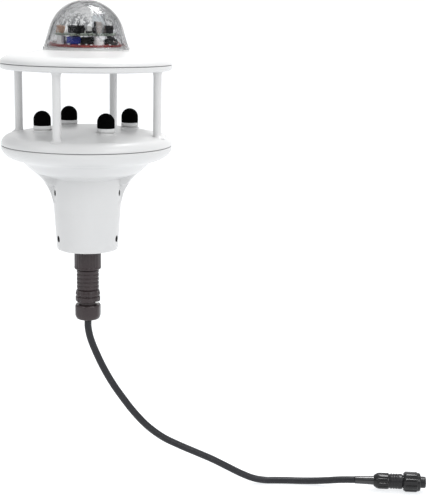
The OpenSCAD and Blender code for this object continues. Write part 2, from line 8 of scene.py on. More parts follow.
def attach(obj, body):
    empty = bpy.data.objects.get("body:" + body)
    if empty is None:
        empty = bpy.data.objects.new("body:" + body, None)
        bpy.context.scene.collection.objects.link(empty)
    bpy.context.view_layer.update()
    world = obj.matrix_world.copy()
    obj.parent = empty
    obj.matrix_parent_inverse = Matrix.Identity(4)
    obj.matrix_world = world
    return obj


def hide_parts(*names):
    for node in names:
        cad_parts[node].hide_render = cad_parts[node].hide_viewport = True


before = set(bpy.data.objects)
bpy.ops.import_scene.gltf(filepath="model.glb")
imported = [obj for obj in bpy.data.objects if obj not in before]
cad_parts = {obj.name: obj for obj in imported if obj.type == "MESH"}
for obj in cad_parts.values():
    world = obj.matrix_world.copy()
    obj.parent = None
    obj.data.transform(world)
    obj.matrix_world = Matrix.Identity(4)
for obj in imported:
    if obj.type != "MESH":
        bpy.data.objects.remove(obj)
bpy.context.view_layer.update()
MM = 0.001


# ---- Camera
# It stands in front of the station at the height of the rain dome, looks a little down, and is
# turned slightly to the right, so that the station is at the left and its cable runs out to the right.
eye = Vector((-0.0048, -0.950, 0.198))
pitch, yaw, roll = radians(11.71), radians(6.82), radians(0.96)
view = bpy.data.cameras.new("view")
view.sensor_width = 36
view.lens = 82
view_object = bpy.data.objects.new("view", view)
view_object.matrix_world = (Matrix.Translation(eye) @ Matrix.Rotation(-yaw, 4, "Z")
    @ Matrix.Rotation(radians(90) - pitch, 4, "X") @ Matrix.Rotation(roll, 4, "Z"))
bpy.context.collection.objects.link(view_object)
bpy.context.scene.camera = view_object


# ---- Cable
# Seven cores in a round jacket of slate grey polyurethane, 6.2 mm across, extruded with a satin skin.
# It leaves the station's gland straight down and comes to lie on the bench before its plug.
sharp_from = radians(34)
cable_r = 3.1
bench_z = -226
gland_bottom = -62.5
plug_start, plug_yaw, sleeve_l = Vector((258, -9, -216.8)), radians(-10), 17
plug_dir = Vector((cos(plug_yaw), sin(plug_yaw), 0))
sleeve_start = plug_start - sleeve_l * plug_dir
cable_route = [(0, 0, gland_bottom), (0, 0, -70), (2, 0, -80), (6.5, 1, -92.5), (13, 1, -107),
    (21, 2, -122), (30, 3, -136), (40, 4, -150), (52, 6, -164), (66, 7, -175.5),
    (81, 8, -184), (96, 9, -191.5), (111, 10, -199), (125, 11, -207), (138, 12, -214.5),
    (150, 12.5, -220), (162, 13, -222.7), (176, 12, -222.9), (190, 10, -222.9),
    (203, 7, -222.2), (216, 2.6, -220.4), (228.5, -2.2, -218), tuple(sleeve_start)]


def flowing(route, steps=6):
    """Points along one smooth curve through the route's points."""
    knots = [Vector(p) for p in route]
    knots = [2 * knots[0] - knots[1], *knots, 2 * knots[-1] - knots[-2]]
    line = []
    for a, b, c, d in zip(knots, knots[1:], knots[2:], knots[3:]):
        for i in range(steps):
            t = i / steps
            line.append(0.5 * (2 * b + (c - a) * t + (2 * a - 5 * b + 4 * c - d) * t * t
                + (3 * b - a - 3 * c + d) * t ** 3))
    return line + [knots[-2]]


def hose(line, radius, sides=24):
    """A closed tube round a line of points; radius(i) is its radius at point i."""
    points, side, last = [], Vector((0, 1, 0)), len(line) - 1
    for i, p in enumerate(line):
        ahead = (line[min(i + 1, last)] - line[max(i - 1, 0)]).normalized()
        side = (side - ahead * side.dot(ahead)).normalized()
        up = ahead.cross(side)
        points += [p + radius(i) * (cos(tau * k / sides) * side + sin(tau * k / sides) * up)
            for k in range(sides)]
    walls = [(i * sides + k, i * sides + (k + 1) % sides,
        (i + 1) * sides + (k + 1) % sides, (i + 1) * sides + k)
        for i in range(last) for k in range(sides)]
    return points, walls + [tuple(range(sides))[::-1], tuple(range(last * sides, (last + 1) * sides))]


def piece(name, part, coat, nodes=(), body="root", holes=()):
    """A piece of the station from a part in millimetres, with holes cut out of it, on its CAD body.
    Its coat is a material and the slot that the material belongs to; the slot is not used."""
    material, slot = coat

    def mesh_of(part, name):
        mesh = bpy.data.meshes.new(name)
        mesh.from_pydata([Vector(p) * MM for p in part[0]], [], part[1])
        shape = bmesh.new()
        shape.from_mesh(mesh)
        bmesh.ops.remove_doubles(shape, verts=shape.verts, dist=1e-7)
        bmesh.ops.recalc_face_normals(shape, faces=shape.faces)
        shape.to_mesh(mesh)
        shape.free()
        return mesh

    thing = bpy.data.objects.new(name, mesh_of(part, name))
    bpy.context.collection.objects.link(thing)
    for hole in holes:
        drill = bpy.data.objects.new("drill", mesh_of(hole, "drill"))
        bpy.context.collection.objects.link(drill)
        cut = thing.modifiers.new("cut", "BOOLEAN")
        cut.operation, cut.solver, cut.object = "DIFFERENCE", "EXACT", drill
        drilled = bpy.data.meshes.new_from_object(
            thing.evaluated_get(bpy.context.evaluated_depsgraph_get()))
        thing.modifiers.clear()
        thing.data = drilled
        bpy.data.objects.remove(drill)
    thing.data.materials.clear()
    thing.data.materials.append(material)
    thing.data.shade_smooth()
    thing.data.set_sharp_from_angle(angle=sharp_from)
    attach(thing, body)
    if nodes:
        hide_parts(*nodes)
    return thing


class Lead:
    """An output of a finish's nodes. Sums on leads add Math nodes, and make() adds any other node."""

    def __init__(self, tree, socket=None):
        self.tree, self.socket = tree, socket

    def make(self, kind, settings=None, values=None, out=0):
        node = self.tree.nodes.new("ShaderNode" + kind)
        for name, value in (settings or {}).items():
            if name == "stops":
                for i, (place, shade) in enumerate(value):
                    stops = node.color_ramp.elements
                    stop = stops[i] if i < 2 else stops.new(place)
                    stop.position, stop.color = place, (*shade, 1)
            else:
                setattr(node, name, value)
        for name, value in (values or {}).items():
            if isinstance(value, Lead):
                self.tree.links.new(value.socket, node.inputs[name])
            else:
                node.inputs[name].default_value = value
        return Lead(self.tree, node.outputs[out] if node.outputs else None)

    def sum(self, operation, *terms):
        return self.make("Math", {"operation": operation}, dict(enumerate(terms)))

    def __add__(self, other):
        return self.sum("ADD", self, other)

    def __sub__(self, other):
        return self.sum("SUBTRACT", self, other)

    def __rsub__(self, other):
        return self.sum("SUBTRACT", other, self)

    def __mul__(self, other):
        return self.sum("MULTIPLY", self, other)

    __radd__, __rmul__ = __add__, __mul__


def grain(lead, size, detail=2.0, along=None):
    """Soft noise whose features are about size millimetres across, stretched by the factors in along."""
    place = lead.make("TexCoord", out="Object")
    if along:
        place = lead.make("Mapping", {}, {"Vector": place, "Scale": along})
    return lead.make("TexNoise", {}, {"Vector": place, "Scale": 1 / (size * MM), "Detail": detail})


def blended(share, one, other):
    """A colour that changes from one to the other with share."""
    return share.make("Mix", {"data_type": "RGBA"}, {
        0: share, 6: one if isinstance(one, Lead) else (*one, 1),
        7: other if isinstance(other, Lead) else (*other, 1)}, out=2)


def limits(lead, low, high):
    """0 below low, 1 above high, and a straight slope between them."""
    return lead.make("MapRange", {}, {"Value": lead, "From Min": low, "From Max": high})


def raised(height, depth, strength=1.0):
    """A bump as deep as depth millimetres where height goes from 0 to 1."""
    return height.make("Bump", {}, {
        "Strength": strength, "Distance": depth * MM, "Height": height}, out="Normal")


def finish(name, slot, recipe):
    """A coat for piece(): a material from the shader values that recipe works out, and its slot."""
    material = bpy.data.materials.new(name)
    material.use_nodes = True
    tree = material.node_tree
    tree.nodes.clear()
    blank = Lead(tree)
    shader = blank.make("BsdfPrincipled", {}, recipe(blank))
    blank.make("OutputMaterial", {}, {"Surface": shader})
    return material, slot


def plain(cloud, dark, light, rough, spread, skin=None, depth=0.02, strength=0.5, **more):
    """A recipe with one soft noise, cloud, that takes the colour from dark to light and the roughness
    from rough up by spread. The skin is the noise of its bump, or () where the cloud is that too."""
    def recipe(lead):
        drift = grain(lead, *cloud)
        look = {"Base Color": blended(drift, dark, light), "Roughness": rough + drift * spread}
        if skin is not None:
            look["Normal"] = raised(grain(lead, *skin) if skin else drift, depth, strength)
        return {**look, **{socket.replace("_", " "): value for socket, value in more.items()}}
    return recipe


def jacket_recipe(lead):
    pulled = grain(lead, 9, 3, (1, 1, 0.4))
    skin = grain(lead, 0.35, 3)
    scuffs = limits(grain(lead, 2.2, 5), 0.60, 0.72)
    dust = blended(pulled, (0.010, 0.0105, 0.013), (0.019, 0.0195, 0.023))
    return {"Base Color": blended(scuffs * 0.35, dust, (0.07, 0.07, 0.075)),
        "Roughness": 0.36 + pulled * 0.12 + scuffs * 0.14,
        "Normal": raised(skin * 0.6 + pulled * 0.4, 0.05, 0.5),
        "Specular IOR Level": 0.30}


cable_line = flowing(cable_route)
for p in cable_line:
    p.z = max(p.z, bench_z + cable_r)
jacket = finish("cable_jacket", "cable_jacket", jacket_recipe)
cable = piece("cable_run", hose(cable_line, lambda i: cable_r), jacket, ["cable"])


# ---- Plug sleeve and clamp nut
# A glossy adhesive-lined sleeve is shrunk over the cable where it goes into the plug. The fluted nut
# behind the plug's body squeezes a rubber ring on to it.
def rounded(points, closed=False, steps=5):
    """The (radius, height) points, with each corner that has a third number cut back by it in an arc."""
    out, count = [], len(points)
    for i, (r, z, *back) in enumerate(points):
        if not back or not (closed or 0 < i < count - 1):
            out.append((r, z))
            continue
        corner = Vector((r, z))
        before, after = (Vector(points[j % count][:2]) for j in (i - 1, i + 1))
        start = corner + (before - corner) * min(0.5, back[0] / (before - corner).length)
        end = corner + (after - corner) * min(0.5, back[0] / (after - corner).length)
        out += [tuple((1 - t) ** 2 * start + 2 * t * (1 - t) * corner + t * t * end)
            for t in (k / steps for k in range(steps + 1))]
    return out


def bow(r, z, out, rise, angles):
    """Points on an arc about (r, z) that reaches out along the radius and rise along the height."""
    return [(r + out * cos(radians(a)), z + rise * sin(radians(a))) for a in angles]


def spun(profile, angles=96, closed=False, shape=None, place=None):
    """A profile of (radius, height) turned about the upright axis. It runs out along the bottom and up
    the outside. Angles count from the front towards the right; shape(r, angle, z) gives a new radius."""
    if isinstance(angles, int):
        angles = [360 * k / angles for k in range(angles)]
    points, rings = [], []
    for r, z in profile:
        steps = angles if r > 1e-6 else angles[:1]
        ring = []
        for a in steps:
            out = shape(r, a, z) if shape and r > 1e-6 else r
            ring.append(len(points))
            points.append(Vector((out * sin(radians(a)), -out * cos(radians(a)), z)))
        rings.append(ring * (len(angles) // len(ring)))
    walls, n = [], len(angles)
    for low, high in zip(rings, rings[1:] + rings[:1] if closed else rings[1:]):
        for k in range(n):
            corners = (low[k], low[(k + 1) % n], high[(k + 1) % n], high[k])
            wall = tuple(dict.fromkeys(corners))
            if len(wall) > 2:
                walls.append(wall)
    if place:
        points = [place @ p for p in points]
    return points, walls


def near(r, z, *profile):
    """A profile whose points count from (r, z)."""
    return [(r + out, z + up, *back) for out, up, *back in profile]


def turned(profile, angles, **more):
    """A turned part with the corners of its profile rounded."""
    return spun(rounded(profile), angles, **more)


def ringed(profile, angles, **more):
    """A turned ring, whose rounded profile comes back to where it starts."""
    return spun(rounded(profile, closed=True), angles, closed=True, **more)


def flutes(count, depth, share, low, high, fade, start=0):
    """A shape with upright grooves: count of them, as deep as depth, each over a share of its pitch."""
    pitch = 360 / count

    def shape(r, a, z):
        across = abs((a - start) / pitch % 1 - 0.5) * 2 / share
        along = min(1, max(0, (z - low) / fade), max(0, (high - z) / fade))
        return r - depth * along * sqrt(max(0, 1 - min(1, across) ** 2)) if r > 1.5 * depth else r
    return shape


plug_frame = (Matrix.Translation(plug_start) @ Matrix.Rotation(plug_yaw, 4, "Z")
    @ Matrix.Rotation(radians(90), 4, "Y"))
sleeve_r = 4.0
plug_nut_r, plug_nut_l = 7.3, 14.4
shrink_black = finish("shrink_sleeve", "gloss_black", plain(
    (2.4, 2), (0.006, 0.006, 0.007), (0.014, 0.014, 0.016), 0.10, 0.10, (), 0.10, 0.35,
    Coat_Weight=0.4, Coat_Roughness=0.08))
gloss_black = finish("gloss_black", "gloss_black", plain(
    (6, 3), (0.004, 0.004, 0.0045), (0.010, 0.010, 0.011), 0.13, 0.10, (0.5, 2), 0.01, 0.4,
    Specular_IOR_Level=0.35))
sleeve = piece("plug_boot", turned([
    (cable_r - 0.3, -sleeve_l), (cable_r + 0.38, -sleeve_l, 0.25), (cable_r + 0.5, -13),
    (sleeve_r - 0.25, -6), (sleeve_r, -1.2, 1), (sleeve_r, 1.5), (cable_r - 0.3, 1.5)],
    48, closed=True, place=plug_frame), shrink_black, ["plug_sleeve"])
clamp_nut = piece("plug_clamp_nut", turned([
    (0, 0), (sleeve_r + 0.9, 0, 0.4), (plug_nut_r - 0.6, 2.6, 1.6), (plug_nut_r, 4.6, 1.6),
    *near(plug_nut_r, plug_nut_l, (0, -1.6, 0.8), (-0.9, 0, 0.5)), (0, plug_nut_l)],
    144, shape=flutes(12, 0.75, 0.62, 3.0, plug_nut_l - 0.6, 1.8), place=plug_frame),
    gloss_black, ["plug_nut"])


# ---- Plug body, coupling ring and contact insert
# The body is moulded in glass filled nylon, with three grip ribs. The bayonet ring turns on it, and
# the insert with its six gilt sockets shows in the nose.
plug_body_r, plug_body_l = 6.9, 12.6
plug_ring_r = 9.2
body_end = plug_nut_l + plug_body_l
ring_back, ring_front = body_end - 0.5, body_end - 0.5 + 15.6

nose_r, plug_end = 5.2, ring_front + 5
black_nylon = finish("black_nylon", "dark_connector", plain(
    (5, 3), (0.009, 0.009, 0.010), (0.018, 0.018, 0.020), 0.22, 0.12, (0.30, 2, (1, 1, 0.5)),
    Specular_IOR_Level=0.3))
ribs = []
for up in (1.6, 3.9, 6.2):
    ribs += near(plug_body_r, plug_nut_l + up, (-0.45, -0.9, 0.3), (0, -0.5, 0.3), (0, 0.5, 0.3),
        (-0.45, 0.9, 0.3))
plug_body = piece("plug_shell", turned([
    (0, plug_nut_l - 1), *near(plug_body_r, plug_nut_l, (-0.9, -1), (-0.5, 0.4)), *ribs,
    (plug_body_r - 0.1, plug_nut_l + 7.8, 0.4), *near(plug_body_r, body_end, (0, -1.6, 0.4), (-1.2, -0.9)),
    *near(plug_body_r, ring_back, (-1.3, 4), (-0.2, 4), (-0.2, 6)), (0, ring_back + 6)],
    72, place=plug_frame), black_nylon, ["plug_body"])
plug_ring = piece("plug_bayonet_ring", ringed([
    (plug_body_r - 1, ring_back + 0.3), *near(plug_ring_r, ring_back, (-1.5, 0.3, 0.4), (0, 2.2, 0.8)),
    *near(plug_ring_r, ring_front, (0, -3.4, 0.5), (-0.7, -2.8, 0.4), (-0.9, -0.9, 0.5), (-1.7, 0, 0.4)),
    (plug_body_r + 0.3, ring_front, 0.3), *near(plug_body_r, ring_back, (0.3, 3.7), (-1, 3.7))],
    180, shape=flutes(9, 0.8, 0.66, ring_back + 1.2, ring_front - 2.6, 1.4, 12),
    place=plug_frame), gloss_black, ["plug_ring"], "cable_plug_ring")


def ring_of(part, count, circle_r, start=0.0):
    """Copies of a part at even steps round the upright axis."""
    parts = []
    for k in range(count):
        turn = Matrix.Rotation(radians(start + 360 * k / count), 4, "Z")
        spot = turn @ Vector((0, -circle_r, 0))
        parts.append(([turn @ Vector(p) + spot for p in part[0]], part[1]))
    return together(*parts)


def together(*parts):
    points, walls = [], []
    for spots, faces in parts:
        walls += [tuple(i + len(points) for i in face) for face in faces]
        points += spots
    return points, walls


def placed(part, place):
    return [place @ Vector(p) for p in part[0]], part[1]


gilt = finish("gold", "gold", plain(
    (0.4, 3), (0.72, 0.48, 0.16), (0.86, 0.62, 0.26), 0.22, 0.16, Metallic=1.0))
key_slot = placed(spun([(0, 0), (0.9, 0), (0.9, 6), (0, 6)], 16),
    plug_frame @ Matrix.Translation((nose_r + 0.35, 0, plug_end - 4)))
nose = piece("plug_insert_nose", turned([
    (0, ring_back + 6), (nose_r - 0.4, ring_back + 6), (nose_r - 0.4, ring_front - 0.4),
    (nose_r, ring_front, 0.2),
    *near(nose_r, plug_end, (0, -0.6, 0.4), (-0.6, 0, 0.3), (-1.1, 0, 0.2), (-1.2, -1.2)),
    (0, plug_end - 1.2)],
    72, place=plug_frame), black_nylon, ["plug_insert"], holes=[key_slot])
sockets = piece("plug_sockets", placed(ring_of(turned(near(
    0, plug_end, (0, -6), (0.6, -6), (0.6, -1.0, 0.15), (0.36, -0.95), (0.34, -1.6), (0, -1.6)), 16),
    6, 2.6), plug_frame), gilt, ["plug_contacts"])
[p * MM for p in cable_line]


# ---- Station connector: cable gland and clamp
# A hexagonal nut with a rounded foot screws up against two clamp discs, and squeezes a rubber ring on
# to the cable. All are moulded in a dark brownish grey nylon; two small screws hold the discs.
flange_r, gap_r = 10.6, 7.9
nut_top, clamp_bottom, body_bottom, ring_bottom = -49.0, -46.4, -36.1, -17.8
hex_turn, hex_flat = 18, (flange_r / cos(radians(30)) + 0.3) * cos(radians(30))
hex_edge, hex_limit = 0.35, 13


def warm_nylon_recipe(lead):
    flow, glass = grain(lead, 7, 4), grain(lead, 0.28, 2)
    rubbed = limits(grain(lead, 1.6, 4), 0.60, 0.74)
    base = blended(flow, (0.024, 0.016, 0.018), (0.042, 0.031, 0.032))
    return {"Base Color": blended(rubbed * 0.35, base, (0.085, 0.075, 0.07)),
        "Roughness": 0.24 + flow * 0.14, "Normal": raised(glass, 0.02, 0.5),
        "Specular IOR Level": 0.35}


def six_sided(r, a, z):
    """The round foot and the flats of the nut, with the edges between flats a little rounded."""
    if r < gap_r:
        return r
    off = (a - 90 - hex_turn + 30) % 60 - 30
    flat = min(hex_flat / cos(radians(30 - abs(off))), hex_limit)
    return -hex_edge * log_sum(-r / hex_edge, -flat / hex_edge)


def log_sum(a, b):
    """The larger of two numbers, rounded off where they are close."""
    return max(a, b) + log(1 + exp(-abs(a - b)))


warm_nylon = finish("dark_connector", "dark_connector", warm_nylon_recipe)
black_rubber = finish("rubber", "rubber", plain(
    (3, 4), (0.014, 0.014, 0.015), (0.030, 0.030, 0.031), 0.72, 0.16, (0.25, 3), 0.03, 0.7))
piece("gland_hex_nut", ringed([
    *near(0, gland_bottom, (cable_r + 0.5, 0), (7.2, 0, 0.5), (9.8, 0.9, 1.0), (11.0, 3.4, 1.4),
            (11.25, 5)),
    *near(0, nut_top, (11.25, -1.2, 0.3), (10.4, 0, 0.4), (gap_r - 2, 0, 0.3), (cable_r + 0.5, -4))],
    144, shape=six_sided), warm_nylon, ["gland_nut"])
piece("gland_ring", turned([
    (0, gland_bottom), (cable_r + 0.45, gland_bottom, 0.2), (cable_r + 0.45, nut_top - 4),
    (gap_r - 2.05, nut_top), (0, nut_top)], 48), black_rubber, ["gland_seal"])
clamp_z = (body_bottom + clamp_bottom) / 2
lobes = flutes(10, 0.55, 0.45, -1e3, body_bottom - 0.3, 0.8, 9)
piece("clamp_discs", turned([
    (0, nut_top), (gap_r, nut_top, 0.2),
    (gap_r, clamp_bottom), *near(flange_r, clamp_bottom, (-0.7, 0, 0.3), (0, 0.7, 0.4)),
    *near(flange_r, clamp_z, (0, -0.9, 0.4), (-0.9, -0.4), (-1.1, 0.3), (-0.3, 0.6, 0.3),
        (0, 1.4, 0.6), (-0.2, 2.6, 0.8)),
    (9.7, body_bottom, 0.5), (0, body_bottom)], 160,
    shape=lambda r, a, z: lobes(r, a, z) if r > gap_r + 1 else r), warm_nylon, ["clamp_flanges"],
    holes=[ring_of(spun([(0, clamp_bottom - 1), (1.8, clamp_bottom - 1), (1.8, clamp_bottom + 1.4),
    (0, clamp_bottom + 1.4)], 24), 2, flange_r - 0.4, 45)])


def steel_recipe(lead):
    lines, cloud = grain(lead, 0.16, 2, (1, 1, 0.08)), grain(lead, 2.5, 3)
    return {"Base Color": blended(cloud, (0.50, 0.50, 0.49), (0.66, 0.65, 0.63)),
        "Roughness": 0.24 + lines * 0.16 + cloud * 0.08, "Metallic": 1.0,
        "Normal": raised(lines, 0.012, 0.4)}


def cap_screw(head_r, foot, top, socket_r, shank_r=0.0, tip=0.0):
    """A screw head seen from its top, with a six-sided socket, on a shank that goes down to tip."""
    key = min(0.55 * (top - foot), 1.2)

    def six(r, a, z):
        return r / cos(radians((a % 60) - 30)) * 0.93 if socket_r * 0.9 < r < socket_r * 1.01 else r
    shank = [(0, tip), (shank_r, tip, 0.2), (shank_r, foot)] if shank_r else [(0, foot)]
    return turned([*shank, (head_r, foot, 0.15), (head_r, top, 0.35), (socket_r, top, 0.08),
        (socket_r * 0.95, top - key), (0, top - key * 1.2)], 36, shape=six)


steel = finish("metal", "metal", steel_recipe)
upside = Matrix.Rotation(pi, 4, "X")
foot_screw = placed(cap_screw(1.5, -clamp_bottom - 1.4, -clamp_bottom, 0.8), upside)
piece("clamp_disc_screws", ring_of(foot_screw, 2, flange_r - 0.4, 45), steel, ["flange_screws"])


# ---- Station connector: body, insert and coupling ring
# The body carries five broad grip ribs. Above it the coupling ring turns on the insert's collar and
# draws the insert up into the station's own connector.
body_r, ring_r, barrel_r, insert_r = 9.5, 11.5, 8.6, 6.6
grip_z, ring_top = ring_bottom + 9, 18
grip_pitch = 3.45
steps_up = [(0, body_bottom), *near(body_r, body_bottom, (-0.8, 0), (-0.6, 0.5))]
for k in range(5):
    steps_up += near(body_r, body_bottom + 0.9 + grip_pitch * k, (-0.5, 0, 0.2), (0, 0.5, 0.4),
        (0, 2.5, 0.4), (-0.5, 3.0, 0.2))
combed = flutes(20, 0.35, 0.34, body_bottom + 0.5, ring_bottom - 1.2, 0.8, 4)
piece("connector_shell", turned([*steps_up, (body_r - 0.8, ring_bottom - 0.3),
    (0, ring_bottom - 0.3)], 200,
    shape=lambda r, a, z: combed(r, a, z) if r > 6 and cos(radians(a)) < 0.72 else r),
    warm_nylon, ["connector_body"])
piece("connector_core", turned([
    (0, ring_bottom - 0.3), (gap_r, ring_bottom - 0.3), (gap_r, grip_z + 0.3),
    (barrel_r - 0.2, grip_z + 0.3, 0.2), (barrel_r - 0.2, grip_z + 3, 0.3), (insert_r, grip_z + 3),
    (insert_r, 24, 0.4), (0, 24)], 64), black_nylon, ["connector_insert"],
    holes=[ring_of(spun([(0, 11), (0.65, 11), (0.65, 25), (0, 25)], 12), 6, 3.4)])
facets = flutes(24, 0.28, 0.5, ring_bottom + 1.2, ring_top - 1.6, 1.2, 3)
piece("station_coupling_ring", ringed([
    (gap_r + 0.3, ring_bottom),
    *near(ring_r, ring_bottom, (-0.9, 0, 0.3), (-0.1, 0.5, 0.4), (0, 1.6, 0.5), (-0.15, 2.4, 0.4)),
    *near(ring_r, ring_top, (-0.1, -1.6, 0.5), (-0.8, 0, 0.4)), (barrel_r + 0.3, ring_top, 0.2),
    (barrel_r + 0.3, grip_z), (gap_r + 0.3, grip_z)], 192,
    shape=lambda r, a, z: facets(r, a, z) if r > ring_r - 1 else r), warm_nylon,
    ["coupling_ring"], "station_ring")


# ---- Connector in the station
# The fixed half is a flanged barrel with six gilt pins. It goes up through the floor above the pole
# socket and is held by a flat nut, on a rubber washer.
hole_r, socket_r, stop_r = barrel_r + 0.4, 22.5, 20.0
socket_depth, bulkhead_z, bulkhead_top = 26, 30, 33
piece("station_barrel", turned([
    (insert_r + 0.3, 8), (barrel_r, 8, 0.4),
    *near(0, bulkhead_z, (barrel_r, -2.5), (12, -2.5, 0.4), (12, -0.8), (barrel_r, -0.8)),
    *near(0, bulkhead_top, (barrel_r, 5, 0.4), (5.5, 5), (5.5, 8, 0.5), (0, 8)),
    (0, bulkhead_z), (insert_r + 0.3, bulkhead_z)], 64), black_nylon, ["fixed_connector"])
piece("station_pins", ring_of(turned([
    (0, 14), (0.3, 14), (0.5, 14.6), (0.5, bulkhead_z), (0, bulkhead_z)], 16), 6, 3.4), gilt,
    ["fixed_contacts"])
piece("barrel_nut", ringed(near(
    0, bulkhead_top, (barrel_r + 0.05, 0), (11.2, 0, 0.3), (11.9, 0.7, 0.2), (11.9, 2.7, 0.2),
    (11.2, 3.4, 0.3), (barrel_r + 0.05, 3.4)), 72,
    shape=lambda r, a, z: min(r, 10.4 / cos(radians(a % 60 - 30))) if r > 10 else r),
    black_nylon, ["connector_nut"])
piece("barrel_washer", ringed(near(
    0, bulkhead_z, (hole_r + 0.1, -0.8), (11.5, -0.8, 0.2), (11.5, 0, 0.2), (hole_r + 0.1, 0)), 64),
    black_rubber, ["connector_seal"])


# ---- Lower housing
# One white moulding in UV-stable plastic: the pole socket at its foot, a flat-fronted neck, and a
# trumpet that opens out under the sensor deck. Two pockets in the trumpet's sides take its screws.
disc_r, wall = 71, 3
neck_r, neck_top_r, flare_r, flare_z, flare_turn = 25.8, 28.0, 43, 33, 58
under_w, under_h, under_z, housing_top = 16.5, 10.5, 87.2, 88.7
crease_z, front_half, panel_r = 62, 66, 28.2
panel_lean, panel_end_z, panel_from_r, soften = 2.79, 70, 26, 0.25
pocket_side, pocket_z, pocket_r, pocket_floor = 73, 49, 8, 28.2
pole_hole_r, pole_hole_z, pole_hole_turns = 2.75, 10, (-68, 68, 180)


def trumpet(radius, rim):
    """Points up the trumpet's side and round the rim's underside, on an arc of that radius."""
    return (bow(neck_top_r + flare_r, flare_z, -radius, radius, range(2, flare_turn + 1, 4))
        + bow(disc_r - under_w, under_z, under_w - rim, under_h - rim, range(-90, 1, 6)))


def relaxed(line, spacing=0.8, reach=3.2):
    """The same line as even points, with its turns eased over about reach millimetres."""
    ticks, along = [Vector(p) for p in line], [0.0]
    for a, b in zip(ticks, ticks[1:]):
        along.append(along[-1] + (b - a).length)
    count = round(along[-1] / spacing)
    line, j = [], 0
    for i in range(count + 1):
        s = along[-1] * i / count
        while j < len(ticks) - 2 and along[j + 1] < s:
            j += 1
        line.append(ticks[j].lerp(ticks[j + 1], (s - along[j]) / (along[j + 1] - along[j])))
    out, step = [], along[-1] / count
    for i, p in enumerate(line):
        span = min(i, count - i, int(3 * reach / step))
        weights = [(j, exp(-0.5 * ((j - i) * step / reach) ** 2)) for j in range(i - span, i + span + 1)]
        out.append(tuple(sum((line[j] * w for j, w in weights), Vector((0, 0)))
            / sum(w for j, w in weights)))
    return out


def step_between(x, low, high):
    t = min(1, max(0, (x - low) / (high - low)))
    return t * t * (3 - 2 * t)


def neck_shape(r, a, z):
    """The trumpet's radius where the flat front panel and the two screw pockets are let into it."""
    if z < flare_z - 0.5 or z > panel_end_z or r < panel_from_r:
        return r
    a = (a + 180) % 360 - 180
    panel = panel_r + (neck_top_r - neck_r) / flare_z * (z - flare_z)
    if z > crease_z:
        panel += (z - crease_z) * panel_lean
    panel = -soften * log_sum(-panel / soften, -r / soften)
    out = r + (panel - r) * (1 - step_between(abs(a), front_half - 1.6, front_half + 1.2))
    off = radians(abs(a) - pocket_side)
    away = hypot(out * sin(off), z - pocket_z)
    floor = pocket_floor / cos(off) if abs(off) < 1 else r
    if floor < out:
        out += (floor - out) * (1 - step_between(away, pocket_r - 0.7, pocket_r + 0.5))
    return out


def outward(turn, z):
    """Lays an upright part along the level line out from the axis at that turn and height."""
    return (Matrix.Rotation(radians(turn), 4, "Z") @ Matrix.Translation((0, 0, z))
        @ Matrix.Rotation(radians(90), 4, "X"))


def radial_holes(turns, z, profile, closed=False):
    """Holes that run out from the axis, from a profile of (radius, distance from the axis)."""
    return [placed(spun(profile, 40, closed), outward(turn, z)) for turn in turns]


def white_recipe(tone, shaded_within=0.0):
    """White moulded plastic with a fine tool texture, with painted shade (near black) within shaded_within
    millimetres of the axis.
    """
    def recipe(lead):
        drift, skin = grain(lead, 38, 2), grain(lead, 0.42, 3)
        shade = blended(drift, (tone, tone, tone * 0.995), (tone * 0.96, tone * 0.965, tone * 0.97))
        # Painted shade: the colour goes near black inside the pole socket, standing in for the shade in it
        # and at the inner ends of the pole holes.
        if shaded_within:
            level = lead.make("VectorMath", {"operation": "MULTIPLY"}, {
                0: lead.make("TexCoord", out="Object"), 1: (1, 1, 0)})
            away = level.make("VectorMath", {"operation": "LENGTH"}, {0: level}, out="Value")
            shade = blended(1 - limits(away, (shaded_within - 0.1) * MM, (shaded_within + 0.1) * MM), shade,
                (0.03, 0.03, 0.032))
        return {"Base Color": shade, "Roughness": 0.26 + drift * 0.07,
            "Normal": raised(skin, 0.014, 0.5), "Specular IOR Level": 0.5}
    return recipe


white_tone = 0.60
shell_white = finish("white_plastic", "white_plastic", white_recipe(white_tone))
# This coat paints shade into the pole socket and the inner ends of the pole holes.
housing_white_shaded = finish("white_plastic_shaded_socket", "white_plastic", white_recipe(white_tone, socket_r + 0.4))
outside = relaxed([(neck_r, 0), *[(neck_r + (neck_top_r - neck_r) * k / 33, k) for k in range(3, 33, 3)],
    *trumpet(flare_r, 0), (disc_r, under_z + 0.8)])
outside = ([(neck_r - 1.3, 0.0), (neck_r - 0.75, 0.12), (neck_r - 0.3, 0.45), (neck_r - 0.06, 0.9)]
    + [p for p in outside if p[1] > 1.4] + [(disc_r - 0.1, housing_top - 0.3),
    (disc_r - 0.4, housing_top)])
inside = trumpet(flare_r + wall, wall)[::-1]
inside = [(disc_r - wall, housing_top)] + [p for p in inside if p[1] > crease_z + 2 * wall] + [
    (neck_top_r - wall, crease_z + wall), (neck_top_r - wall, bulkhead_top), (hole_r, bulkhead_top),
    (hole_r, bulkhead_z), (stop_r, bulkhead_z), (stop_r, socket_depth), (socket_r, socket_depth),
    (socket_r, 0.6), (socket_r + 0.5, 0.0)]
columns = sorted({*range(-180, 180, 2), *[s * (54 + 0.6 * k) for k in range(64) for s in (1, -1)]})
pole_hole = [(0, 19), (pole_hole_r, 19), (pole_hole_r, 26.0), (pole_hole_r + 1.2, 28), (0, 28)]
screw_seat = [(0, 22), (1.6, 22), (1.6, pocket_floor - 1.8), (2.75, pocket_floor - 1.8),
    (2.75, pocket_floor + 1), (0, pocket_floor + 1)]
piece("lower_housing_shell", spun(outside + inside, columns, closed=True, shape=neck_shape),
    housing_white_shaded, ["lower_housing"], holes=radial_holes(pole_hole_turns, pole_hole_z, pole_hole)
    + radial_holes((-pocket_side, pocket_side), pocket_z, screw_seat))
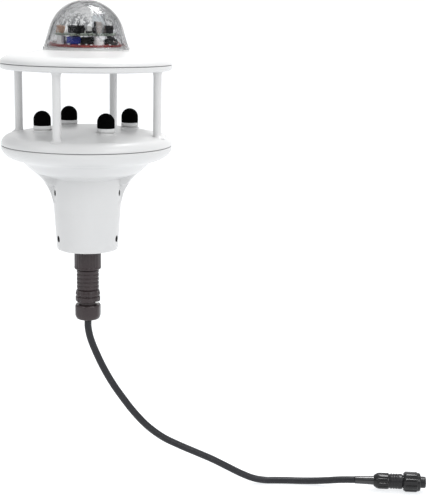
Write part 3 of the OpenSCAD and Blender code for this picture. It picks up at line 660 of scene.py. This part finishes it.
# Near-black rings that line the pole holes through the wall stand in for the shade deep in those holes.
shade_liner = rounded([(pole_hole_r - 0.45, 22.7), (pole_hole_r, 22.7), (pole_hole_r, 26.15),
    (pole_hole_r - 0.45, 26.15)], closed=True)
piece("pole_hole_shade_liners", together(*radial_holes(pole_hole_turns, pole_hole_z, shade_liner, True)), black_rubber)


# ---- Housing screws and what the housing holds
# Two dark screws in the pockets go through to the pole clamp. Inside hangs the main circuit board, on
# brackets from the deck, with a compass chip and a sealed supply block; a loom runs down to the barrel.
deck_under_z = 94.7
main_board_r, main_board_z, board_t = 42, deck_under_z - 14, 1.6
dark_steel = finish("dark_steel", "metal", plain(
    (1.2, 4), (0.004, 0.004, 0.0045), (0.012, 0.0115, 0.011), 0.5, 0.2, Metallic=0.3,
    Specular_IOR_Level=0.1))
screw = cap_screw(2.5, pocket_floor - 1.75, pocket_floor - 0.4, 1.35, 1.4, 19)
piece("pocket_screws", together(*[placed(screw, outward(turn, pocket_z))
    for turn in (-pocket_side, pocket_side)]), dark_steel, ["housing_screws"])


def board_recipe(mask, track):
    """A circuit board: a tinted mask over copper tracks that run in straight lines."""
    def recipe(lead):
        place = lead.make("TexCoord", out="Object")
        tracks = lead.make("TexBrick", {"offset": 0.37, "squash": 1.6, "squash_frequency": 3}, {
            "Vector": place, "Scale": 420, "Mortar Size": 0.05, "Mortar Smooth": 0.3,
            "Bias": 0.0}, out="Fac")
        weave = grain(lead, 0.5, 2)
        return {"Base Color": blended(tracks * 0.7 + weave * 0.2, mask, track),
            "Roughness": 0.28 + weave * 0.16, "Normal": raised(tracks, 0.03, 0.6)}
    return recipe


def block(x0, x1, y0, y1, z0, z1, cut=0.35):
    """A moulded block with bevelled edges, a little narrower at its top."""
    shape = bmesh.new()
    bmesh.ops.create_cube(shape, size=1)
    for v in shape.verts:
        lean = 1 - 0.03 * (v.co.z > 0)
        v.co = Vector(((x0 + x1) / 2 + v.co.x * lean * (x1 - x0), (y0 + y1) / 2
            + v.co.y * lean * (y1 - y0), (z0 + z1) / 2 + v.co.z * (z1 - z0)))
    bmesh.ops.bevel(shape, geom=shape.edges[:], offset=cut, segments=2, affect="EDGES")
    shape.verts.index_update()
    part = ([v.co.copy() for v in shape.verts], [tuple(v.index for v in f.verts) for f in shape.faces])
    shape.free()
    return part


def blocks(base, *sizes):
    """Several blocks as one part, with their heights counted from base."""
    return together(*[block(x0, x1, y0, y1, base + low, base + high, *cut)
        for x0, x1, y0, y1, low, high, *cut in sizes])


def disc(r, low, high, edge=0.15, steps=96):
    return turned([(0, low), (r, low, edge), (r, high, edge), (0, high)], steps)


def legs(x0, x1, y, z, count, reach=0.9):
    """A row of bent contact legs along one side of a chip."""
    row = []
    for k in range(count):
        x = x0 + (x1 - x0) * (k + 0.5) / count
        row.append(block(x - 0.2, x + 0.2, min(y, y + reach), max(y, y + reach), z, z + 0.35, 0.08))
    return together(*row)


chip_black = finish("module_black", "module_black", plain(
    (0.2, 3), (0.003, 0.003, 0.0035), (0.010, 0.010, 0.0105), 0.42, 0.18, (), 0.02, 0.6,
    Specular_IOR_Level=0.15))
green_board = finish("board_green", "board_red", board_recipe((0.020, 0.085, 0.030), (0.10, 0.20, 0.06)))
top = main_board_z + board_t
piece("main_circuit_board", disc(main_board_r, main_board_z, top), green_board, ["main_board"],
    holes=[ring_of(disc(1.4, main_board_z - 1, top + 1, 0.05, 24), 4, main_board_r - 5)])
piece("compass_chips", blocks(top, (6, 20, 8, 22, 0, 2.4), (-24, -12, -10, 8, 0, 2)), chip_black,
    ["compass_module"])
piece("compass_chip_legs", together(
    legs(6.6, 19.4, 8, top, 8, -0.9), legs(6.6, 19.4, 22, top, 8), legs(-23.4, -12.6, -10, top, 7, -0.9),
    legs(-23.4, -12.6, 8, top, 7)), steel)
bracket = together(disc(3, top, top + 3, 0.3, 32), block(-3, 3, 0, 15, top, top + 3, 0.4),
    placed(disc(3, top, deck_under_z - 5, 0.3, 32), Matrix.Translation((0, 15, 0))))
piece("board_brackets", ring_of(placed(bracket, Matrix.Rotation(pi, 4, "Z")), 4, main_board_r - 5),
    steel, ["board_standoffs"])
board_screw = placed(cap_screw(2.5, -main_board_z, 1.6 - main_board_z, 1.2, 1.15, -top - 1.8), upside)
piece("board_fixing_screws", ring_of(board_screw, 4, main_board_r - 5), steel, ["board_screws"])
loom_low = bulkhead_top + 8
loom_line = [Vector((0.5 * sin(k / 5), 0.5 * cos(k / 4), loom_low + (main_board_z - loom_low) * k / 40))
    for k in range(41)]
strands = [hose([p + Vector((1.3 * cos(0.35 * k + s * tau / 5), 1.3 * sin(0.35 * k + s * tau / 5), 0))
    for k, p in enumerate(loom_line)], lambda i: 0.75, 10) for s in range(5)]
piece("sensor_loom", together(*strands), jacket, ["wire_loom"])


# ---- Sensor deck
# The lid of the lower housing, a shallow white dish with a rolled rim. It stands on a grey foam seal
# and carries low pads for the four sensors and the four posts.
deck_bottom, deck_rim_w, deck_rim_h = 89.3, 8, 8.4
deck_edge_z, deck_crown, post_foot_z = 97.7, 7.2, 98.7
sensor_circle_r, sensor_turn, post_circle_r, post_turn = 39.4, 22.5, 62, -22.5
cap_r, post_r = 7.1, 3.3


def deck_top(r):
    """Height of the crowned deck at a distance from its centre."""
    return deck_edge_z + deck_crown * (1 - (r / (disc_r - deck_rim_w)) ** 2)


def at_sensors(part):
    return ring_of(part, 4, sensor_circle_r, sensor_turn)


def at_posts(part):
    return ring_of(part, 4, post_circle_r, post_turn)


def seam_seal(name, low, high, node):
    """The foam seal between two shells, set a little back from their edges."""
    piece(name, ringed([
        *near(disc_r, low, (-wall - 0.2, 0), (-0.9, 0, 0.2)), (disc_r - 0.75, (low + high) / 2, 0.2),
        *near(disc_r, high, (-0.9, 0, 0.2), (-wall - 0.2, 0))], 144), foam, [node])


foam = finish("gasket_grey", "gasket_grey", plain(
    (0.35, 3), (0.14, 0.14, 0.145), (0.24, 0.24, 0.245), 0.78, 0.12, (), 0.05, 0.7))
seam_seal("housing_seam_seal", housing_top, deck_bottom, "lower_seam_gasket")
roll = bow(disc_r - deck_rim_w, deck_bottom, deck_rim_w, deck_rim_h, range(6, 88, 6))
crown = relaxed([*roll[-3:], *[(r, deck_top(r)) for r in range(62, -1, -2)]], 1.6, 3.5)
under = [(r, deck_top(r) - wall) for r in range(0, 61, 6)] + [(62.5, deck_edge_z - wall)]
pad_z = deck_top(sensor_circle_r) + 0.3
lip = [(65.6, deck_bottom + 3.6), (disc_r - wall - 2.5, 88), (disc_r - wall - 2.5, 86.7),
    (disc_r - wall - 0.3, 86.7), (disc_r - wall - 0.3, deck_bottom)]
dish = spun([*near(disc_r, deck_bottom, (-0.4, 0), (-0.1, 0.3)), *roll[:-3], *crown, *under, *lip], 144,
    closed=True)
spot_face = disc(cap_r + 0.8, pad_z, pad_z + 4, 0.05, 64)
sensor_pad = turned([(0, 94.3), (cap_r + 0.7, 94.3),
    *near(cap_r, pad_z, (0.9, -2.2), (0.75, 0, 0.35)), (0, pad_z)], 64)
post_pad = spun([(0, 93.9), (4.0, 93.9), (6.2, 97.2), (5.2, 97.75), (4.5, 98.1), (4.1, 98.4),
    (4.0, post_foot_z), (0, post_foot_z)], 36)
bosses = ring_of(disc(3.2, deck_under_z - 5, deck_top(52) - wall / 2, 0.3, 32), 4, 52)
piece("sensor_deck_dish", dish, shell_white, ["sensor_deck"], holes=[at_sensors(spot_face)])
piece("sensor_deck_pads", together(at_sensors(sensor_pad), at_posts(post_pad), bosses), shell_white)


# ---- Ultrasonic sensors
# Each is a ceramic core under a matt black silicone cap, in a short white collar that is drawn down on
# a thin rubber ring by a flat nut under the deck.
holder_z = pad_z + 0.8
cap_z, cap_top = holder_z + 3, holder_z + 15
holder_r, stem_r, core_r = cap_r + 0.2, 4.6, cap_r - 1.8
cap_silicone = finish("cap_silicone", "rubber", plain(
    (2.4, 4), (0.0006, 0.0006, 0.0006), (0.0018, 0.0018, 0.0019), 0.86, 0.1, (0.22, 3), 0.04, 0.8,
    Specular_IOR_Level=0.02))
ceramic = finish("sensor_ceramic", "metal", plain(
    (0.9, 4), (0.42, 0.30, 0.18), (0.55, 0.42, 0.28), 0.55, 0.2))
pale_silicone = finish("pale_silicone", "gasket_grey", plain(
    (2.0, 3), (0.50, 0.50, 0.49), (0.60, 0.60, 0.59), 0.55, 0.15, (0.2, 2)))
cap_mid, cap_in_r = cap_top - cap_r, cap_r - 1.6
piece("sensor_caps", at_sensors(turned([
    (cap_in_r, cap_z), (cap_r - 0.1, cap_z, 0.3), (cap_r, cap_z + 1.2),
    *bow(0, cap_mid, cap_r, cap_r, range(0, 91, 6)),
    *bow(0, cap_mid, cap_in_r, cap_in_r, range(90, -1, -9))], 64)), cap_silicone, ["transducer_caps"])
piece("sensor_cores", at_sensors(disc(core_r, cap_z, cap_mid, 0.4, 40)), ceramic, ["transducer_cores"])
collar = turned([
    (0, deck_under_z - 6), (stem_r, deck_under_z - 6, 0.3), (stem_r, holder_z),
    *near(holder_r, holder_z, (-0.3, 0, 0.2), (0, 0.5, 0.3)),
    *near(holder_r, cap_z, (0, -0.5, 0.3), (-0.4, 0, 0.2)), (0, cap_z)], 64)
piece("sensor_collars", at_sensors(collar), shell_white, ["transducer_holders"])
piece("sensor_rings", at_sensors(ringed([
    (stem_r + 0.2, pad_z), (holder_r - 0.7, pad_z, 0.2), (holder_r - 0.5, pad_z + 0.4, 0.2),
    (holder_r - 0.7, holder_z, 0.2), (stem_r + 0.2, holder_z)], 48)), pale_silicone,
    ["transducer_seals"])


def flat_nut(bore, across, low, high):
    """A six-sided nut with its corners turned off, for a thread of radius bore."""
    corner = across / cos(radians(30)) - 0.05
    return ringed([(bore, low), (across - 0.2, low, 0.2), (corner, low + 0.5), (corner, high - 0.5),
        (across - 0.2, high, 0.2), (bore, high)], 48, shape=lambda r, a, z: min(
        r, across / cos(radians(a % 60 - 30))) if r > across * 0.9 else r)


piece("sensor_nuts", at_sensors(flat_nut(stem_r + 0.05, 6.4, deck_under_z - 3.4, deck_under_z - 0.4)),
    steel, ["transducer_nuts"])


# ---- Wind gap posts
# Four white tubes hold the upper disc clear of the sensors. A steel rod in each clamps the two discs
# together, with its head in the upper disc and a nut under the deck.
base_bottom, base_floor, base_top, rod_r = 151.3, 154.3, 155.7, 1.5
rod_hole_r = rod_r + 0.25
post_foot = near(post_r, post_foot_z, (0.5, 0), (0.25, 0.4), (0.05, 1.2), (0, 2.4))
post_head = near(post_r, base_bottom, (0, -4.6), (0.08, -3.2), (0.3, -1.9), (0.7, -0.8), (1.1, -0.25),
    (1.4, 0))

post = spun([(rod_hole_r, post_foot_z), *post_foot, *post_head, (rod_hole_r, base_bottom)], 56,
    closed=True)
piece("wind_gap_posts", at_posts(post), shell_white, ["support_posts"])
thread = [(0, -4), (rod_r - 0.3, -4)]
for k in range(7):
    thread += [(rod_r, 0.5 * k - 3.7), (rod_r - 0.2, 0.5 * k - 3.45)]
rod = turned([*near(0, deck_under_z, *thread, (rod_r, 0)), *near(
    0, base_floor, (rod_r, 0), (2.8, 0, 0.2), (2.8, 1.8, 0.4), (1.2, 1.8), (1.1, 0.9), (0, 0.9))], 32)
piece("clamp_rods", at_posts(rod), steel, ["tie_rods"])
piece("clamp_rod_nuts", at_posts(flat_nut(rod_r + 0.05, 2.5, deck_under_z - 3.2, deck_under_z - 0.8)),
    steel, ["rod_nuts"])


# ---- Upper disc
# Two white shells with a foam seal between them: a flat base with a bevelled edge, and a lid with a
# rolled rim whose crown carries the rain dome. Four screws from below join them.
top_bottom, top_edge_z, seat_z = 156.3, 163.5, 167.1
shield_rim_w, shield_rim_h, shield_screw_r = 14, 7.2, 50
dome_base_r, plinth_r, ledge_z = 35.7, 28.5, 164.1
bevel_edge = bow(disc_r - wall, base_floor, wall, wall, range(-90, 1, 10))
rod_hole = disc(rod_hole_r, base_bottom - 1, base_floor + 1, 0.05, 24)
screw_hole = spun([*near(0, base_bottom, (0, -1), (3.15, -1), (2.95, 0.3), (2.95, 1.9), (1.45, 1.9)),
    (1.45, base_floor + 1), (0, base_floor + 1)], 32)
piece("upper_disc_base", spun([(0, base_bottom), (40, base_bottom), *bevel_edge,
    *near(disc_r, base_top, (0, -0.3), (-0.3, 0), (-wall, 0)), (disc_r - wall, base_floor),
    (0, base_floor)],
    144), shell_white, ["shield_base"],
    holes=[at_posts(rod_hole), ring_of(screw_hole, 4, shield_screw_r)])
seam_seal("upper_disc_seal", base_top, top_bottom, "upper_seam_gasket")
rim_r = disc_r - shield_rim_w
rolled = bow(rim_r, top_bottom, shield_rim_w, shield_rim_h, range(5, 86, 5))
eased = relaxed([rolled[-1], (rim_r, top_edge_z), (47, 165.15), (dome_base_r + 0.6, seat_z)], 1.5, 4)
hollow = bow(rim_r, top_bottom, shield_rim_w - wall, shield_rim_h - wall, range(90, -1, -10))
lid = spun([*near(disc_r, top_bottom, (-0.4, 0), (-0.1, 0.3)), *rolled[:-1], *eased, (plinth_r, seat_z),
    *near(plinth_r, ledge_z, (0, 0), (-3, 0), (-3, -2), (3, -2)), (dome_base_r, ledge_z), *hollow], 144,
    closed=True)
piece("upper_disc_lid", together(lid, ring_of(disc(3.4, base_floor + 0.2, top_edge_z - 1, 0.2, 32), 4,
    shield_screw_r)), shell_white, ["shield_top"])
lid_screw = placed(cap_screw(2.7, -base_bottom - 1.9, -base_bottom - 0.4, 1.3, 1.2, 4 - top_edge_z),
    upside)
piece("upper_disc_screws", ring_of(lid_screw, 4, shield_screw_r), steel, ["shield_screws"])


# ---- Rain sensor: lower board and what stands on it
# A pale plinth under the dome carries a round red board. On it are four turned pillars, a blue driver
# module, two black ones, and the black connector of a short looped lead.
dome_z, plinth_top = 167.7, 169.5
low_board_r, low_board_top, up_board_z, up_board_top, up_board_r = 31, 171.1, 178.5, 180.1, 25.3
pillar_x, pillar_y, pillar_r = 9.7, -20, 3.6


def around_board(part):
    """Copies of a part at the board's four pillars."""
    return ring_of(placed(part, Matrix.Translation((pillar_x, pillar_y, 0))), 4, 0)


pale_plastic = finish("grey_plastic", "grey_plastic", plain(
    (6, 3), (0.66, 0.67, 0.68), (0.76, 0.77, 0.77), 0.36, 0.12, (0.3, 2), 0.015))
cast_blue = finish("module_blue", "module_blue", plain(
    (2.2, 4), (0.004, 0.010, 0.13), (0.008, 0.022, 0.24), 0.26, 0.14, (), 0.05, 0.3,
    Specular_IOR_Level=0.2))
red_board = finish("board_red", "board_red", board_recipe((0.13, 0.006, 0.010), (0.24, 0.028, 0.018)))
piece("optics_plinth", turned([
    (0, ledge_z), (plinth_r - 0.25, ledge_z, 0.2), (plinth_r - 0.25, dome_z + 0.2),
    (30.5, dome_z + 0.2, 0.2), (30.5, plinth_top, 0.3), (0, plinth_top)], 96), pale_plastic,
    ["optics_base"])
piece("rain_lower_board", disc(low_board_r, plinth_top, low_board_top, 0.12, 128), red_board,
    ["lower_sensor_board"])
pillar = ringed([
    *near(0, low_board_top, (1.25, 0), (pillar_r, 0, 0.3), (pillar_r, 2.4, 0.1), (pillar_r - 0.25, 2.6),
    (pillar_r - 0.25, 3.0), (pillar_r, 3.2, 0.1)), (pillar_r, up_board_z, 0.3), (1.25, up_board_z)], 40)
piece("board_spacers", around_board(pillar), pale_plastic, ["board_pillars"])
piece("driver_block_blue", blocks(
    low_board_top, (-16, -4.4, -21, -11, 0.5, 6.5, 0.5), (-15.3, -5.1, -20.3, -11.7, 0, 0.6, 0.1)),
    cast_blue, ["driver_modules"])
piece("driver_block_black", blocks(
    low_board_top, (-3.8, 3.4, -19, -9, 0.3, 5.8, 0.4), (-5, 8, 7, 17, 0.3, 4.6, 0.4),
    (-1.6, 1.6, -19.2, -18.7, 1.5, 4.4, 0.15)), chip_black)
tin_dots = []
for k in range(26):
    a, r = radians(137.5 * k), 25.5 + 3.6 * ((k * 0.618) % 1)
    x, y = r * sin(a), -r * cos(a)
    tin_dots.append((x - 0.8, x + 0.8, y - 0.5, y + 0.5, 0, 0.9, 0.12))
piece("rain_lower_chips", blocks(low_board_top, *tin_dots), pale_plastic)
piece("lead_header", blocks(
    low_board_top, (13.6, 21.4, -17.5, -12.6, 0, 4.6, 0.4), (14.2, 20.8, -18.1, -17.3, 0.6, 3.6, 0.2)),
    chip_black, ["cable_header"])
loop = flowing([(x, y, low_board_top + up) for x, y, up in (
    (15, -17.9, 2.2), (16.5, -20.5, 2.6), (20, -21.6, 1.6), (23.6, -18.6, 1.3), (23.8, -13.6, 3.0),
    (20.6, -11.8, 5.2), (16.6, -12.4, 6.8))], 8)
piece("looped_lead", together(*[hose([p + Vector((0, 0, 0.85 * s)) for p in loop], lambda i: 0.5, 10)
    for s in (-1, 0, 1)]), black_rubber)


# ---- Rain sensor: upper board, emitters and baffles
# The upper board faces the dome. Three emitters look up through lenses in tan or clear holders, and
# black baffles and a tinned can keep stray light from the detectors.
tan_plastic = finish("copper", "copper", plain(
    (1.8, 3), (0.30, 0.16, 0.10), (0.52, 0.34, 0.25), 0.32, 0.18))
lens_clear = finish("lens_clear", "clear", plain(
    (3, 2), (0.86, 0.90, 0.92), (0.94, 0.95, 0.95), 0.06, 0.05, Transmission_Weight=0.85, IOR=1.46))
grey_board = finish("board_grey_green", "board_red", board_recipe((0.10, 0.13, 0.11), (0.24, 0.26, 0.21)))
piece("rain_upper_board", disc(up_board_r, up_board_z, up_board_top, 0.12, 96), grey_board,
    ["upper_sensor_board"], holes=[around_board(disc(1.4, up_board_z - 1, up_board_top + 1, 0.05, 20))])
fin_pitch, fins = 1.7, []
for x0, x1, y0, y1, h in ((-15, -1.4, -13, -3, 6.8), (15.4, 21.6, -10.5, -2.4, 6.8), (-12, 10, 6, 15, 5)):
    count = round((x1 - x0) / fin_pitch)
    fins.append((x0, x1, y0 + 0.5, y1 - 0.5, 0, h, 0.3))
    for k in range(count):
        x = x0 + (x1 - x0) * (k + 0.5) / count
        fins.append((x - 0.5, x + 0.5, y0, y1, 0.8, h - 0.5, 0.15))
piece("stray_light_baffles", blocks(up_board_top, *fins), chip_black, ["light_baffles"])
holders = [(9.8, -5, 5.1, 10.6), (-20.6, 0, 3.3, 7.6), (14, 6, 4, 8)]
core_share, cap_share = 0.62, 0.98
cups, tubes, lenses = [], [], []
for x, y, r, h in holders:
    spot = Matrix.Translation((x, y, up_board_top))
    tall = r > 5
    core = r * (core_share if tall else cap_share)
    bead_r = core_share * core
    cups.append(placed(turned([
        (0, 0), (core, 0, 0.3), (core, h * 0.45, 0.2), (core * 0.9, h * 0.5, 0.2),
        (core * 0.86, h - 1.6, 0.3), (core * 0.7, h - 1.2, 0.2), (bead_r, h - 2.6), (0, h - 2.6)], 40),
        spot))
    if r > 3.5:
        tube_in, tube_top = r - 0.9, h + (r - 0.9 if tall else 0)
        tubes.append(placed(ringed([(tube_in, 0), (r, 0, 0.2), (r, tube_top, 0.3),
            (tube_in, tube_top, 0.3)], 48), spot))
    bead = bow(0, h - 2.2, bead_r, bead_r, range(0, 91, 10))
    lenses.append(placed(spun([(0, h - 2.5), (bead_r, h - 2.5), *bead], 32), spot))
piece("emitter_cups", together(*cups), tan_plastic, ["emitter_holders"])
piece("emitter_tubes", together(*tubes), lens_clear)
piece("emitter_beads", together(*lenses), lens_clear, ["emitter_lenses"])
piece("emitter_straps", blocks(up_board_top, (5.9, 7.7, -10.6, -9.9, 0, 10.2, 0.2),
    (-0.6, 4.2, -14.0, -13.1, 0.1, 1.7, 0.2)), chip_black)
piece("tinned_can", blocks(up_board_top, (-0.8, 4.2, -13, -6, 0, 5.9, 0.4),
    (-0.2, 3.6, -12.4, -6.6, 5.8, 6.1, 0.1)), steel, ["shield_can"])


# ---- Rain dome
# A smoke-tinted clear polycarbonate moulding: a steep cone that runs into a half ball, with a flat
# flange at its foot that is bonded to the lid over a thin rubber ring.
flange_t, dome_t, dome_r, cone_deg = 1.8, 2.0, 31.4, 20.3
dome_centre_z = dome_z + 8.6


def smoke_recipe(lead):
    flow, haze = grain(lead, 26, 2), grain(lead, 5, 4)
    swirl = grain(lead, 7, 3, along=(1.0, 1.0, 0.45))
    crest = swirl.sum("ABSOLUTE", swirl - 0.5)
    height = lead.make("SeparateXYZ", {}, {"Vector": lead.make("TexCoord", out="Object")}, out="Z")
    # Painted reflection: dark streaks of colour along the swirl's crests, above the flange, stand in for
    # reflected dark surroundings.
    painted_dark_reflection = ((1 - limits(crest, 0.006, 0.045)) * limits(grain(lead, 12, 2), 0.40, 0.56)
        * limits(height, (dome_z + 5) * MM, (dome_z + 13) * MM))
    edge = lead.make("LayerWeight", {}, {"Blend": 0.5}, out="Facing")
    body = blended(flow, (0.80, 0.805, 0.81), (0.92, 0.922, 0.925))
    return {"Base Color": blended(edge, blended(painted_dark_reflection, body, (0.08, 0.085, 0.09)), (0.33, 0.335, 0.34)),
        "Roughness": 0.008 + haze * 0.02, "Transmission Weight": 1.0, "IOR": 1.49,
        "Specular Tint": (0.20, 0.20, 0.21, 1), "Normal": raised(swirl, 1.2, 0.5)}


rising = [cone_deg + (90 - cone_deg) * k / 24 for k in range(25)]
dome_in_r, flange_top, ball_in_r = dome_base_r - dome_t - 1, dome_z + flange_t, dome_r - dome_t
flange = [(dome_in_r, dome_z), (dome_base_r, dome_z, 0.2),
    *near(dome_base_r, flange_top, (0, 0, 0.4), (-0.9, 0.3, 0.3))]
dome_shell = spun([*rounded(flange), *bow(0, dome_centre_z, dome_r, dome_r, rising),
    *bow(0, dome_centre_z, ball_in_r, ball_in_r, rising[::-1]), (dome_in_r, flange_top)],
    144, closed=True)
rain_dome = piece("rain_dome", dome_shell, finish("clear", "clear", smoke_recipe), ["dome_lens"])
rain_dome.visible_shadow = False
piece("rain_dome_ring", ringed([
    (dome_in_r, seat_z), (dome_base_r - 0.4, seat_z, 0.15),
    (dome_base_r - 0.2, (seat_z + dome_z) / 2, 0.1), (dome_base_r - 0.4, dome_z, 0.15),
    (dome_in_r, dome_z)], 128), pale_silicone, ["dome_gasket"])


# ---- Floor and studio light
# A wide, faintly lit floor at the bench's height meets a surround that is white low down and grey at
# the sides and behind the camera. One soft box stands above and behind, and two at the front.
pale_floor = finish("pale_floor", "floor", plain(
    (300, 2), (0.36, 0.36, 0.36), (0.34, 0.34, 0.343), 0.8, 0.1, Specular_IOR_Level=0.1,
    Emission_Color=(0.96, 0.98, 1.0, 1), Emission_Strength=0.78))
half = 25       # metres
floor_mesh = bpy.data.meshes.new("floor")
floor_mesh.from_pydata([(x, y, bench_z * MM) for x, y in (
    (-half, -half), (half, -half), (half, half), (-half, half))], [], [(0, 1, 2, 3)])
floor_mesh.materials.append(pale_floor[0])
floor = bpy.data.objects.new("floor", floor_mesh)
bpy.context.collection.objects.link(floor)


def soft_box(name, spot, aim, width, height, power):
    lamp = bpy.data.lights.new(name, "AREA")
    lamp.shape, lamp.size, lamp.size_y, lamp.energy = "RECTANGLE", width, height, power
    box = bpy.data.objects.new(name, lamp)
    box.location = spot
    box.rotation_euler = (Vector(aim) - Vector(spot)).to_track_quat("-Z", "Y").to_euler()
    bpy.context.collection.objects.link(box)


soft_box("box_above", (0.50, 0.32, 1.55), (0, 0, 0.12), 0.75, 0.55, 20)
soft_box("box_front_right", (0.95, -1.15, 0.75), (0, 0, 0.05), 0.8, 0.9, 8)
soft_box("box_front_left", (-1.15, -0.75, 0.85), (0, 0, 0.05), 0.6, 0.9, 3.6)
surround = bpy.data.worlds.new("surround")
bpy.context.scene.world = surround
surround.use_nodes = True
sky = Lead(surround.node_tree)
surround.node_tree.nodes.clear()
towards = sky.make("TexCoord", out="Generated")
across, away, upward = (sky.make("SeparateXYZ", {}, {"Vector": towards}, out=axis) for axis in "XYZ")
behind = blended(limits(away, 0.70, 0.95), (0.24, 0.243, 0.25), (1.0, 1.0, 1.0))
sides = blended(limits(across.sum("ABSOLUTE", across), 0.6, 1.0), behind, (0.40, 0.403, 0.41))
low = blended(limits(upward, 0.08, 0.24), (0.95, 0.95, 0.95), sides)
shade = blended(limits(upward, 0.3, 0.75), low, (0.92, 0.925, 0.93))
sky.make("OutputWorld", {}, {"Surface": sky.make("Background", {}, {"Color": shade, "Strength": 1.1})})
bpy.context.scene.view_settings.view_transform = "Standard"
